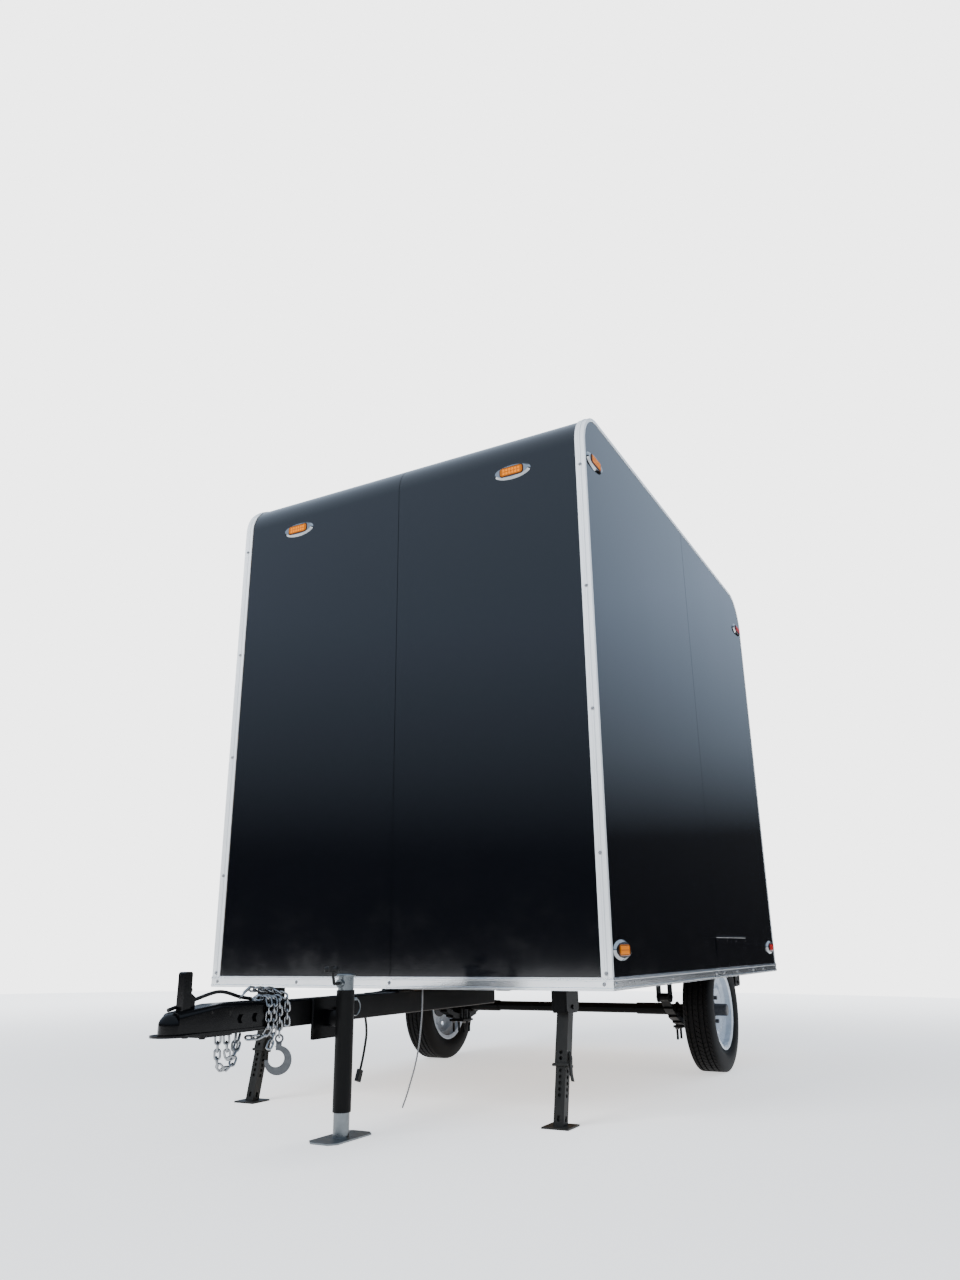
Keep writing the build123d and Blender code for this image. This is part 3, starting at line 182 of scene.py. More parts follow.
cable_black, place = new_finish("cable sheath")
scuff = place.noise(60, 4, 0.6)
close_finish(place, Base_Color=scuff.tint((0.003, 0.003, 0.003), (0.012, 0.012, 0.011)),
             Roughness=scuff * 0.25 + 0.35, Specular_IOR_Level=0.25,
             Normal=scuff.bump(0.15, 0.001))
cable_steel, place = new_finish("wire rope")
strand = place.node("ShaderNodeTexWave", {"wave_type": "BANDS", "bands_direction": "DIAGONAL"},
                    {"Vector": place, "Scale": 95, "Distortion": 1.2, "Detail": 1})
close_finish(place, Base_Color=strand.tint((0.06, 0.06, 0.06), (0.42, 0.42, 0.43)),
             Metallic=0.8, Roughness=0.42, Normal=strand.bump(0.8, 0.002))
cables = (
    # name, thickness, far end, stiffness, finish, slot, route
    ("breakaway_cable", 0.011, "object", "stiff", cable_black, "rubber", (
        (-0.020, -1.547, 0.4379), (-0.020, -1.596, 0.4436), (-0.020, -1.652, 0.460),
        (-0.020, -1.696, 0.466), (-0.020, -1.742, 0.458), (-0.020, -1.796, 0.4455),
        (-0.020, -1.848, 0.433), (-0.020, -1.893, 0.4229))),
    ("light_cable", 0.009, "plug", "medium", cable_black, "rubber", (
        (0, -0.945, 0.3456), (0.002, -0.934, 0.300), (0, -0.942, 0.250),
        (0.001, -0.956, 0.205), (0, -0.968, 0.172))),
    ("ground_cable", 0.006, "bare", "medium", cable_steel, "zinc", (
        (0.137, -0.768, 0.4368), (0.139, -0.770, 0.380), (0.134, -0.768, 0.326),
        (0.127, -0.766, 0.270), (0.117, -0.765, 0.214), (0.104, -0.766, 0.160),
        (0.086, -0.767, 0.108), (0.070, -0.767, 0.062), (0.052, -0.766, 0.024))),
)
for name, thickness, far_end, stiffness, finish, slot, route in cables:
    curve = bpy.data.curves.new(name + "_line", "CURVE")
    curve.dimensions = "3D"
    curve.bevel_depth = thickness / 2
    curve.bevel_resolution = 5
    curve.use_fill_caps = True
    curve.resolution_u = 10
    line = curve.splines.new("NURBS")
    line.points.add(len(route) - 1)
    for point, spot in zip(line.points, route):
        point.co = (*spot, 1)
    line.order_u = 3
    line.use_endpoint_u = True
    curve.materials.append(finish)
    cable = bpy.data.objects.new(name + "_sheath", curve)
    seat(cable, "trailer", name)
    spots = plain_line(curve)
    reach = sum((b - a).length for a, b in zip(spots, spots[1:]))
    [frame["nodes"]["light_plug"]] if far_end == "plug" else ()

# Studio
# A pale floor, a pale surround for the camera, and a surround for reflections
# that is dark at the horizon and bright above, as an open yard is.
floor_middle, floor_radius, floor_sides = Vector((-3, -4, 0)), 13, 128
rim = []
for i in range(floor_sides):
    angle = math.tau * i / floor_sides
    rim.append(floor_middle + Vector((math.cos(angle), math.sin(angle), 0)) * floor_radius)
floor_mesh = bpy.data.meshes.new("studio_floor")
floor_mesh.from_pydata(rim, [], [tuple(range(floor_sides))])
studio_floor = bpy.data.objects.new("studio_floor", floor_mesh)
bpy.context.scene.collection.objects.link(studio_floor)
pale_floor_with_painted_shade, place = new_finish("pale floor")
far_off = place.node("ShaderNodeVectorMath", {"operation": "LENGTH"}, {0: place}, give="Value")
# The floor's glow is painted darker within a few metres of the trailer, a painted shade round it
# that fades out towards the floor's edge.
close_finish(place, Base_Color=place.noise(2).tint((0.86, 0.86, 0.86), (0.90, 0.90, 0.90)),
             Roughness=0.85, Specular_IOR_Level=0.1,
             Emission_Color=far_off.band(2.0, 10.0).tint((0.36, 0.36, 0.36), (1, 1, 1)),
             Emission_Strength=2.6)
floor_mesh.materials.append(pale_floor_with_painted_shade)

surround = bpy.data.worlds.new("surround")
surround.use_nodes = True
surround.node_tree.nodes.clear()
direction = Socket(surround.node_tree, None).node("ShaderNodeTexCoord", give="Generated")
reflected = direction.node("ShaderNodeValToRGB", {"stops": [
    # height (0 below, 0.5 at the horizon, 1 above) and colour
    (0.0, (0.05, 0.05, 0.05)), (0.47, (0.02, 0.02, 0.02)), (0.5, (0.02, 0.02, 0.022)),
    (0.555, (0.035, 0.037, 0.042)), (0.60, (0.35, 0.43, 0.54)), (0.68, (0.72, 0.90, 1.18)),
    (0.80, (0.90, 1.12, 1.42)), (1.0, (1.1, 1.3, 1.6))]},
    {"Fac": direction.along("Z") * 0.5 + 0.5}, give="Color")
glow = direction.node("ShaderNodeBackground", None, {"Color": reflected, "Strength": 1.0})
soft = direction.node("ShaderNodeBackground", None, {"Color": reflected, "Strength": 0.45})
paper = direction.node("ShaderNodeBackground", None, {"Color": (1, 1, 1, 1), "Strength": 4.0})
seen, spread = (direction.node("ShaderNodeLightPath", give=f"Is {ray} Ray")
                for ray in ("Camera", "Diffuse"))
lit = direction.node("ShaderNodeMixShader", None, {0: spread, 1: glow, 2: soft})
both = direction.node("ShaderNodeMixShader", None, {0: seen, 1: lit, 2: paper})
surround_end = surround.node_tree.nodes.new("ShaderNodeOutputWorld")
surround.node_tree.links.new(both.output, surround_end.inputs["Surface"])
bpy.context.scene.world = surround
for name, spot, aim, size, watts in (
    # name, place, what it lights, side of the square, power
    ("key", (-2.4, -7.0, 5.0), (0, 0, 1.0), 4.0, 640),
    ("fill", (6.5, -1.0, 4.5), (0, 0.5, 0.8), 5.0, 70),
    ("back", (2.0, 7.0, 5.0), (0, 0, 1.2), 5.0, 220),
):
    lamp_data = bpy.data.lights.new(name, "AREA")
    lamp_data.size = size
    lamp_data.energy = watts
    lamp = bpy.data.objects.new(name, lamp_data)
    lamp.location = spot
    lamp.rotation_euler = (Vector(aim) - Vector(spot)).to_track_quat("-Z", "Y").to_euler()
    lamp.visible_glossy = False
    bpy.context.scene.collection.objects.link(lamp)

# Body panels
# Bonded sheet skins in a deep blue-black gloss over flat framed walls, lined
# inside with pale plywood. The front, roof and rear curve are one wrap.
skin_black, place = new_finish("gloss black skin")
ripple = place.stretch(1, 1, 0.5).noise(1.3, 2, 0.4)
dust = place.stretch(1, 1, 1.4).noise(7, 5, 0.62)
low_dust = (1 - place.along("Z").band(0.44, 0.90)) * dust.band(0.45, 0.75) * 0.4
close_finish(place,
             Base_Color=low_dust.tint((0.0018, 0.0021, 0.0032), (0.0065, 0.0066, 0.007)),
             Roughness=dust * 0.05 + low_dust * 0.12 + 0.07, Specular_IOR_Level=0.5,
             Coat_Weight=0.12, Coat_Roughness=0.05, Normal=ripple.bump(0.10, 0.02))
liner_ply, place = new_finish("plywood liner")
veneer = place.stretch(1.2, 1.2, 0.12).noise(14, 5, 0.6)
close_finish(place, Base_Color=veneer.tint((0.42, 0.30, 0.18), (0.62, 0.47, 0.30)),
             Roughness=veneer * 0.2 + 0.5, Normal=veneer.bump(0.15, 0.001))
inside_half, inside_front, inside_rear, inside_top = 0.8755, -0.7485, 1.8725, 2.7115
load_middle, least_facing = Vector((0, 0.562, 1.6)), 0.1


def dressed(node, finish, bevel=0.0, angle=35, inside=None):
    """A welded copy of a CAD node with smooth curves and softened edges. Faces
    towards the load space take the inside finish, if there is one."""
    piece = frame["nodes"][node].copy()
    piece.data = frame["nodes"][node].data.copy()
    piece.name = node + "_dressed"
    for key in list(piece.keys()):
        del piece[key]
    piece.parent = None
    shell = bmesh.new()
    shell.from_mesh(piece.data)
    bmesh.ops.remove_doubles(shell, verts=shell.verts, dist=0.00002)
    bmesh.ops.dissolve_limit(shell, angle_limit=math.radians(1), verts=shell.verts,
                             edges=shell.edges)
    for face in shell.faces:
        middle = face.calc_center_median()
        face.smooth = True
        face.material_index = int(inside is not None and abs(middle.x) < inside_half
                                  and inside_front < middle.y < inside_rear
                                  and middle.z < inside_top
                                  and face.normal.dot(load_middle - middle) > least_facing)
    for edge in shell.edges:
        edge.smooth = len(edge.link_faces) == 2 and edge.calc_face_angle(0) < math.radians(angle)
    piece.data.materials.clear()
    piece.data.materials.append(finish)
    if inside:
        piece.data.materials.append(inside)
    shell.to_mesh(piece.data)
    shell.free()
    if bevel:
        rounding = piece.modifiers.new("edges", "BEVEL")
        rounding.width = bevel
        rounding.segments = 2
        rounding.limit_method = "ANGLE"
        rounding.angle_limit = math.radians(angle)
        rounding.harden_normals = True
    body = next(body for body, members in frame["record"]["behaviour"]["bodies"].items()
                if node in members)
    seat(piece, body, node)
    return piece


for node in ("front_wall", "roof_panel", "side_wall_left", "side_wall_right"):
    dressed(node, skin_black, 0.001, inside=liner_ply)
for node in ("wheel_flap_left", "wheel_flap_right"):
    dressed(node, skin_black, 0.001)

# Floor
# Sheets of exterior plywood, laid on the cross-members of the frame and
# screwed down from above.
plywood, place = new_finish("plywood")
rings = place.stretch(1, 9, 1).noise(6, 6, 0.6)
close_finish(place, Base_Color=rings.tint((0.26, 0.17, 0.09), (0.50, 0.35, 0.20)),
             Roughness=rings * 0.2 + 0.6, Normal=rings.bump(0.2, 0.001))
dressed("floor_panel", plywood)

# Aluminium edging
# Extruded strips with a raised rib, mill finish, screwed over every joint of
# the wrap, and a deeper ribbed rail round the foot of the body.
rib_edge_shade_width = 0.0022
for finish_name, nodes, axis, rib_edges, grain, bareness in (
    # finish, pieces, axis across the ribs, edges of the ribs, grain, bareness
    ("edging aluminium", ("wrap_trim_left", "wrap_trim_right"), "X",
     (0.8905, 0.9000), (150, 4, 4), 0.22),
    ("rail aluminium", ("base_rail",), "Z",
     (0.4408, 0.4484, 0.4696, 0.4772), (3, 3, 200), 0.93),
):
    edging, place = new_finish(finish_name)
    drawn = place.stretch(*grain).noise(3, 3, 0.6)
    cloud = place.noise(4, 5, 0.65)
    across = place.along(axis).absolute()
    # Dark lines along each rib edge are painted shade, standing in for the shade in the creases
    # beside the ribs.
    rib_edge_shade = sum(across.near(edge, rib_edge_shade_width) for edge in rib_edges) * 0.75
    shade = cloud * 0.7 + drawn * 0.3 - rib_edge_shade
    close_finish(place, Base_Color=shade.tint((0.70, 0.73, 0.75), (0.97, 0.98, 0.99)),
                 Metallic=bareness, Roughness=drawn * 0.05 + cloud * 0.05 + 0.1,
                 Normal=drawn.bump(0.05, 0.001))
    for node in nodes:
        dressed(node, edging, 0.0007)


# Edging screws
# Bright pan-head screws with a cross recess, driven at even spaces through the
# strips and the rail into the frame behind them.
def new_tree(name, **inputs):
    """A tree of geometry nodes, an empty Socket to start from, and its inputs."""
    tree = bpy.data.node_groups.new(name, "GeometryNodeTree")
    for label, kind in inputs.items():
        tree.interface.new_socket(label, in_out="INPUT", socket_type="NodeSocket" + kind)
    tree.interface.new_socket("Geometry", in_out="OUTPUT", socket_type="NodeSocketGeometry")
    given = tree.nodes.new("NodeGroupInput")
    return tree, Socket(tree, None), [Socket(tree, given.outputs[i]) for i in range(len(inputs))]


def close_tree(start, finish, model, **places):
    """End a tree with real copies of a model on its points, in one finish."""
    shape = start.node("GeometryNodeObjectInfo", None, {"Object": model}, give="Geometry")
    stood = start.node("GeometryNodeInstanceOnPoints", None, {"Instance": shape, **places})
    whole = start.node("GeometryNodeRealizeInstances", None, {"Geometry": stood})
    done = start.node("GeometryNodeSetMaterial", None, {"Geometry": whole, "Material": finish})
    start.tree.links.new(done.output, start.tree.nodes.new("NodeGroupOutput").inputs[0])
    return start.tree


def copies_tree():
    """Copies of a model on points, each turned to its point's facing and along."""
    tree, start, (places, model, size, finish) = new_tree(
        "copies on points", Geometry="Geometry", Model="Object", Size="Float", Finish="Material")
    facing, along = (start.node("GeometryNodeInputNamedAttribute",
                                {"data_type": "FLOAT_VECTOR"}, {"Name": name})
                     for name in ("facing", "along"))
    turn = start.node("FunctionNodeAxesToRotation", {"primary_axis": "Z", "secondary_axis": "X"},
                      {"Primary Axis": facing, "Secondary Axis": along})
    return close_tree(start, finish, model, Points=places, Rotation=turn, Scale=size)


def grown(name, base, tree, **inputs):
    """The plain mesh object that a tree of nodes grows from a base object."""
    bpy.context.scene.collection.objects.link(base)
    growth = base.modifiers.new("growth", "NODES")
    growth.node_group = tree
    for item in tree.interface.items_tree:
        if item.in_out == "INPUT" and item.name in inputs:
            growth[item.identifier] = inputs[item.name]
    bpy.context.view_layer.update()
    shape = bpy.data.meshes.new_from_object(
        base.evaluated_get(bpy.context.evaluated_depsgraph_get()))
    base.modifiers.remove(growth)
    bpy.data.objects.remove(base)
    return bpy.data.objects.new(name, shape)


def stood_on(name, places, model, finish, size=1.0):
    """One mesh of a model's copies at places of (spot, facing, along)."""
    points = bpy.data.meshes.new(name + "_places")
    points.from_pydata([spot for spot, _, _ in places], [], [])
    for column, label in ((1, "facing"), (2, "along")):
        values = points.attributes.new(label, "FLOAT_VECTOR", "POINT")
        for number, entry in enumerate(places):
            values.data[number].vector = entry[column]
    base = bpy.data.objects.new(name + "_base", points)
    return grown(name, base, copies, Model=model, Size=size, Finish=finish)


def solid(name, shell, finish=None):
    """The object that a finished shell makes, not yet in the scene."""
    mesh = bpy.data.meshes.new(name)
    shell.to_mesh(mesh)
    shell.free()
    if finish:
        mesh.materials.append(finish)
    return bpy.data.objects.new(name, mesh)


def lathed(name, profile, steps=32, lower=lambda x, y: 0):
    """A closed turned shape about Z from (radius, height) points, first on the
    axis at the top. lower(x, y) gives how far a point sinks."""
    shell = bmesh.new()
    rings = []
    for radius, height in profile:
        ring = []
        for i in range(steps if radius else 1):
            angle = math.tau * i / steps
            x, y = radius * math.cos(angle), radius * math.sin(angle)
            ring.append(shell.verts.new((x, y, height - lower(x, y))))
        rings.append(ring * (steps // len(ring)))
    for high, low in zip(rings, rings[1:]):
        for i in range(steps):
            j = (i + 1) % steps
            corners = dict.fromkeys((high[i], low[i], low[j], high[j]))
            shell.faces.new(list(corners)).smooth = True
    shell.faces.new(rings[-1][::-1])
    bmesh.ops.recalc_face_normals(shell, faces=shell.faces)
    return solid(name, shell)


copies = copies_tree()
screw_bright, place = new_finish("bright screw")
tarnish = place.noise(120, 3, 0.6)
close_finish(place, Base_Color=tarnish.tint((0.10, 0.10, 0.10), (0.50, 0.50, 0.50)),
             Metallic=0.95, Roughness=tarnish * 0.15 + 0.1)
recess_half, recess_reach, recess_depth = 0.0010, 0.0036, 0.0014
screw_head = lathed("screw_head", (
    (0, 0.0030), (0.0010, 0.0030), (0.0020, 0.0029), (0.0034, 0.0027), (0.0044, 0.0023),
    (0.0054, 0.0014), (0.0060, 0)),
    lower=lambda x, y: recess_depth * (min(abs(x), abs(y)) < recess_half
                                       and math.hypot(x, y) < recess_reach))
edge_x, roof_x, roof_face = 0.8952, 0.8836, 2.7534
post_front, post_rear = -0.794, 1.918
rail_front, rail_rear, rail_side, rail_mid = -0.792, 1.916, 0.919, 0.459
post_heights = (0.494, 0.901, 1.434, 1.933, 2.473)
rail_across = (-0.885, -0.455, 0, 0.455, 0.885)
rail_along = (-0.760, -0.111, 0.562, 0.703, 0.961, 1.317, 1.563, 1.890)
roof_along = (-0.55, -0.08, 0.39, 0.86, 1.33, 1.68)
edging_screw_size = 1.2
screw_places = []
for z in post_heights:
    for x in (-edge_x, edge_x):
        screw_places.append(((x, post_front, z), (0, -1, 0), (1, 0, 1)))
        screw_places.append(((x, post_rear, z), (0, 1, 0), (1, 0, 0.3)))
for x in rail_across:
    screw_places.append(((x, rail_front, rail_mid), (0, -1, 0), (1, 0, 0.5)))
    screw_places.append(((x, rail_rear, rail_mid), (0, 1, 0), (1, 0, 0.9)))
for y in rail_along:
    for side in (-1, 1):
        screw_places.append(((side * rail_side, y, rail_mid), (side, 0, 0), (0, 1, 0.7)))
for y in roof_along:
    for x in (-roof_x, roof_x):
        screw_places.append(((x, y, roof_face), (0, 0, 1), (1, 0.4, 0)))
seat(stood_on("edging_screws", screw_places, screw_head, screw_bright, edging_screw_size),
     "trailer")

# Flap screws
# Small screws with heads painted black hold the flaps over the wheels, in two
# rows near the flaps' edges.
paint_black, place = new_finish("chassis paint")
orange_peel = place.noise(220, 2, 0.5)
wear = place.noise(14, 5, 0.65).band(0.56, 0.74)
close_finish(place, Base_Color=wear.tint((0.0012, 0.0012, 0.0013), (0.010, 0.010, 0.009)),
             Roughness=wear * 0.25 + orange_peel * 0.1 + 0.28, Specular_IOR_Level=0.08,
             Normal=orange_peel.bump(0.1, 0.0006))
flap_screw_size = 0.8
flap_face, flap_along, flap_heights = 0.918, (0.634, 0.82, 1.004, 1.19), (0.492, 0.606)
for side, body_side in ((1, "left"), (-1, "right")):
    places = [((side * flap_face, y, z), (side, 0, 0), (0, 1, 0.4))
              for y in flap_along for z in flap_heights]
    seat(stood_on("flap_screws_" + body_side, places, screw_head, paint_black, flap_screw_size),
         "trailer")

# Frame and running gear
# Welded steel tube and plate in satin black chassis paint, with the axle,
# springs, hangers and brackets bolted and welded under it.
for node in ("chassis_frame", "axle", "leaf_spring_left", "leaf_spring_right", "spring_hangers",
             "stabilizer_brackets"):
    dressed(node, paint_black, 0.0012)

# Spring nuts
# Plated hex nuts, gone dull, on the ends of the U-bolts that clamp the leaf
# springs to the axle. They sit under the spring plates.
nut_steel, place = new_finish("dull steel")
stain = place.noise(40, 4, 0.6)
close_finish(place, Base_Color=stain.tint((0.06, 0.055, 0.05), (0.24, 0.235, 0.23)),
             Metallic=0.8, Roughness=stain * 0.25 + 0.35)
nut = lathed("nut", ((0, 0.009), (0.0078, 0.009), (0.0098, 0.0078), (0.0105, 0.0060),
                     (0.0105, 0.0010), (0.0098, 0)), steps=6)
for face in nut.data.polygons:
    face.use_smooth = False
spring_x, plate_y, plate_z, half_gauge, half_pitch = 0.645, 0.912, 0.1965, 0.033, 0.030
nut_places = [((x + gauge, plate_y + pitch, plate_z), (0, 0, -1), (1, 0.3, 0))
              for x in (-spring_x, spring_x) for gauge in (-half_gauge, half_gauge)
              for pitch in (-half_pitch, half_pitch)]
seat(stood_on("spring_nuts", nut_places, nut, nut_steel), "trailer")

# Rear frame and wheel boxes
# The wheel boxes are folded from galvanised sheet, grey with faint crystals.
# The rear frame is steel section in the body's skin, lined with plywood inside.
galvanised, place = new_finish("galvanised steel")
crystal = place.node("ShaderNodeTexVoronoi", {"feature": "F1"},
                     {"Vector": place, "Scale": 45}, give="Color")
shine = crystal.node("ShaderNodeSeparateColor", None, {"Color": crystal}, give="Red")
close_finish(place, Base_Color=shine.tint((0.36, 0.37, 0.38), (0.50, 0.51, 0.52)),
             Metallic=0.7, Roughness=shine * 0.15 + 0.35)
for node in ("wheel_box_left", "wheel_box_right"):
    dressed(node, galvanised, 0.0008)
dressed("rear_frame", skin_black, 0.001, inside=liner_ply)


# Tyres
# Radial trailer tyres of moulded rubber: five ribs parted by four grooves, fine
# cuts across each rib, and a bulged plain sidewall.
def join_rings(shell, rings, closed=True):
    """Smooth faces from each ring of points to the next, and back to the first."""
    for ring, after in zip(rings, rings[1:] + rings[:1] if closed else rings[1:]):
        for i in range(len(ring)):
            j = (i + 1) % len(ring)
            shell.faces.new((ring[i], ring[j], after[j], after[i])).smooth = True


tyre_rubber, place = new_finish("tyre rubber")
grit = place.noise(160, 4, 0.6)
road = place.noise(9, 4, 0.6)
close_finish(place, Base_Color=road.tint((0.0016, 0.0016, 0.0016), (0.0065, 0.006, 0.006)),
             Roughness=grit * 0.15 + 0.5, Specular_IOR_Level=0.1, Normal=grit.bump(0.2, 0.0008))
wheel_x, axle_y, axle_z = 0.785, 0.912, 0.281
groove_places = (0.014, 0.038)
crown_radius, cut_depth = 0.2810, 0.0040
groove_half, groove_depth, groove_floor = 0.0036, 0.0070, 0.7
sidewall = (
    # out from the wheel's middle, radius
    (0.0545, 0.1665), (0.0568, 0.175), (0.0585, 0.184), (0.0625, 0.190), (0.0668, 0.199),
    (0.0700, 0.210), (0.0718, 0.221), (0.0718, 0.232), (0.0708, 0.243), (0.0690, 0.253),
    (0.0670, 0.262), (0.0645, 0.2695), (0.0610, 0.2755), (0.0575, 0.2790))
crown = [(0.0545, 0.2802, 1)]
for groove in groove_places[::-1]:
    for share, drop, is_rib in ((1, 0, 1), (groove_floor, 1, 0), (-groove_floor, 1, 0),
                                (-1, 0, 1)):
        crown.append((groove + groove_half * share, crown_radius - drop * groove_depth, is_rib))
half_profile = [(out, radius, 0) for out, radius in sidewall] + crown
profile = half_profile + [(-out, radius, is_rib) for out, radius, is_rib in half_profile[::-1]]
pitch_count = 72
pitch_columns = ((0.0, 0), (0.42, 0), (0.44, 1), (0.56, 1), (0.58, 0))
sway_share, sway_turns, crease = 0.30, 130, math.radians(40)
for side, body_side in ((1, "left"), (-1, "right")):
    shell = bmesh.new()
    rows = []
    for number in range(pitch_count):
        for share, cut in pitch_columns:
            row = []
            for out, radius, is_rib in profile:
                sway = sway_share * math.sin(out * sway_turns) * is_rib
                angle = math.tau * (number + share + sway) / pitch_count
                depth = radius - cut_depth * cut * is_rib
                row.append(shell.verts.new((side * (wheel_x + side * out),
                                            axle_y + depth * math.cos(angle),
                                            axle_z + depth * math.sin(angle))))
            rows.append(row)
    join_rings(shell, rows)
    bmesh.ops.recalc_face_normals(shell, faces=shell.faces)
    for edge in shell.edges:
        edge.smooth = edge.calc_face_angle(0) < crease
    seat(solid("tyre_tread_" + body_side, shell, tyre_rubber),
         "wheel_" + body_side, "tyre_" + body_side)

# Rims and hubs
# White enamelled steel rims with a deep bowl, a cast hub with a pressed dust
# cap, and plated nuts.
rim_white, place = new_finish("white enamel")
speck = place.noise(30, 4, 0.6)
close_finish(place, Base_Color=speck.tint((0.40, 0.46, 0.54), (0.56, 0.63, 0.72)),
             Roughness=speck * 0.1 + 0.22, Coat_Weight=0.3, Coat_Roughness=0.1)
hub_grey, place = new_finish("cast hub")
cast = place.noise(90, 4, 0.6)
close_finish(place, Base_Color=cast.tint((0.02, 0.02, 0.022), (0.085, 0.085, 0.09)),
             Metallic=0.7, Roughness=cast * 0.2 + 0.35, Normal=cast.bump(0.2, 0.0008))
for body_side in ("left", "right"):
    dressed("rim_" + body_side, rim_white, 0.0008)
    dressed("hub_" + body_side, hub_grey, 0.0008)

# Tongue and coupler
# A square steel beam with a pressed coupler bolted over its front end. The
# coupler and its latch are in a glossier black than the frame.
coupler_black, place = new_finish("coupler paint")
dimple = place.noise(140, 3, 0.55)
chips = place.noise(26, 6, 0.7).band(0.62, 0.74)
close_finish(place, Base_Color=chips.tint((0.0012, 0.0012, 0.0014), (0.014, 0.013, 0.012)),
             Roughness=chips * 0.3 + dimple * 0.08 + 0.16, Specular_IOR_Level=0.14,
             Normal=dimple.bump(0.12, 0.0008))
dressed("tongue_beam", paint_black, 0.0012)
dressed("coupler", coupler_black, 0.0018)
dressed("coupler_latch", coupler_black, 0.002)
dressed("jack_bracket", paint_black, 0.0012)

# Weld beads
# Overlapping beads of weld where plates meet the tongue and the frame, laid by
# hand along each seam and painted over.
bead = lathed("bead", ((0, 0.0026), (0.0022, 0.0022), (0.0036, 0.0011), (0.0042, -0.0006),
                       (0.0036, -0.0022)), steps=10)
seams = (
    # from, to, facing
    ((0.047, -1.3165, 0.304), (0.047, -1.3165, 0.424), (0.7, -0.7, 0)),
    ((0.047, -1.1715, 0.304), (0.047, -1.1715, 0.424), (0.7, 0.7, 0)),
    ((0.0045, -0.945, 0.4275), (0.0045, -0.795, 0.4275), (0.7, 0, 0.7)),
    ((-0.0045, -0.945, 0.4275), (-0.0045, -0.795, 0.4275), (-0.7, 0, 0.7)),
    ((0.0405, -0.785, 0.4280), (0.0405, -0.675, 0.4280), (0.8, 0, 0.4)),
    ((-0.0405, -0.785, 0.4280), (-0.0405, -0.675, 0.4280), (-0.8, 0, 0.4)),
    ((-0.709, -0.728, 0.4365), (-0.709, -0.618, 0.4365), (-0.7, 0, -0.7)),
    ((-0.661, -0.728, 0.4365), (-0.661, -0.618, 0.4365), (0.7, 0, -0.7)),
    ((0.709, -0.728, 0.4365), (0.709, -0.618, 0.4365), (0.7, 0, -0.7)),
    ((0.661, -0.728, 0.4365), (0.661, -0.618, 0.4365), (-0.7, 0, -0.7)),
    ((0.615, 0.582, 0.4365), (0.615, 0.642, 0.4365), (-0.7, 0, -0.7)),
    ((-0.615, 0.582, 0.4365), (-0.615, 0.642, 0.4365), (0.7, 0, -0.7)),
    ((0.615, 1.182, 0.4365), (0.615, 1.242, 0.4365), (-0.7, 0, -0.7)),
    ((-0.615, 1.182, 0.4365), (-0.615, 1.242, 0.4365), (0.7, 0, -0.7)),
)
bead_step = 0.0036
bead_places = []
for start, end, facing in seams:
    run = Vector(end) - Vector(start)
    for number in range(int(run.length / bead_step)):
        spot = Vector(start) + run * (number * bead_step / run.length)
        bead_places.append((spot, facing, run))
seat(stood_on("weld_beads", bead_places, bead, paint_black), "trailer")

# Jack
# A drop-leg screw jack: a black sleeve that swivels on the bracket, a zinc
# head with a folded crank, and a zinc inner tube welded to its foot plate.
zinc, place = new_finish("zinc plate")
haze = place.noise(25, 4, 0.6)
close_finish(place, Base_Color=haze.tint((0.10, 0.112, 0.118), (0.25, 0.27, 0.28)),
             Metallic=0.9, Roughness=haze * 0.2 + 0.2)
sleeve_black, place = new_finish("jack sleeve paint")
powder = place.noise(380, 2, 0.5)
rub = place.stretch(1, 1, 3).noise(10, 4, 0.6)
close_finish(place, Base_Color=rub.tint((0.0022, 0.0022, 0.0022), (0.0055, 0.0055, 0.0055)),
             Roughness=powder * 0.12 + rub * 0.12 + 0.3, Specular_IOR_Level=0.1,
             Normal=powder.bump(0.15, 0.0004))
moulded, place = new_finish("moulded black plastic")
fine = place.noise(300, 2, 0.5)
close_finish(place, Base_Color=fine.tint((0.004, 0.004, 0.004), (0.008, 0.008, 0.008)),
             Roughness=fine * 0.15 + 0.4, Specular_IOR_Level=0.2)
dressed("jack_sleeve", sleeve_black, 0.0015)
dressed("jack_head", zinc, 0.0008)
dressed("jack_tube", zinc, 0.0008)
dressed("jack_crank", moulded, 0.002)
cap = lathed("jack_cap", ((0, 0.0505), (0.020, 0.0505), (0.0285, 0.0495), (0.0322, 0.0468),
                          (0.0325, 0.0445), (0.0322, 0.0428), (0.029, 0.0424)), 40)
grip = lathed("crank_grip", ((0, 0.026), (0.006, 0.026), (0.0092, 0.0243), (0.0103, 0.021),
                             (0.0094, 0.010), (0.0094, -0.010), (0.0103, -0.021),
                             (0.0092, -0.0243), (0.006, -0.026)), 24)
for piece, finish, slot, turn, spot in (
    # piece, finish, slot, how it is turned, where its middle goes
    (cap, zinc, "zinc", Matrix(), (0.116, -1.230, 0.4545)),
    (grip, moulded, "rubber", Matrix.Rotation(math.pi / 2, 4, "Y"), (0.116, -1.312, 0.5195)),
):
    piece.data.transform(Matrix.Translation(spot) @ turn)
    piece.data.materials.append(finish)
    seat(piece, "jack_body")

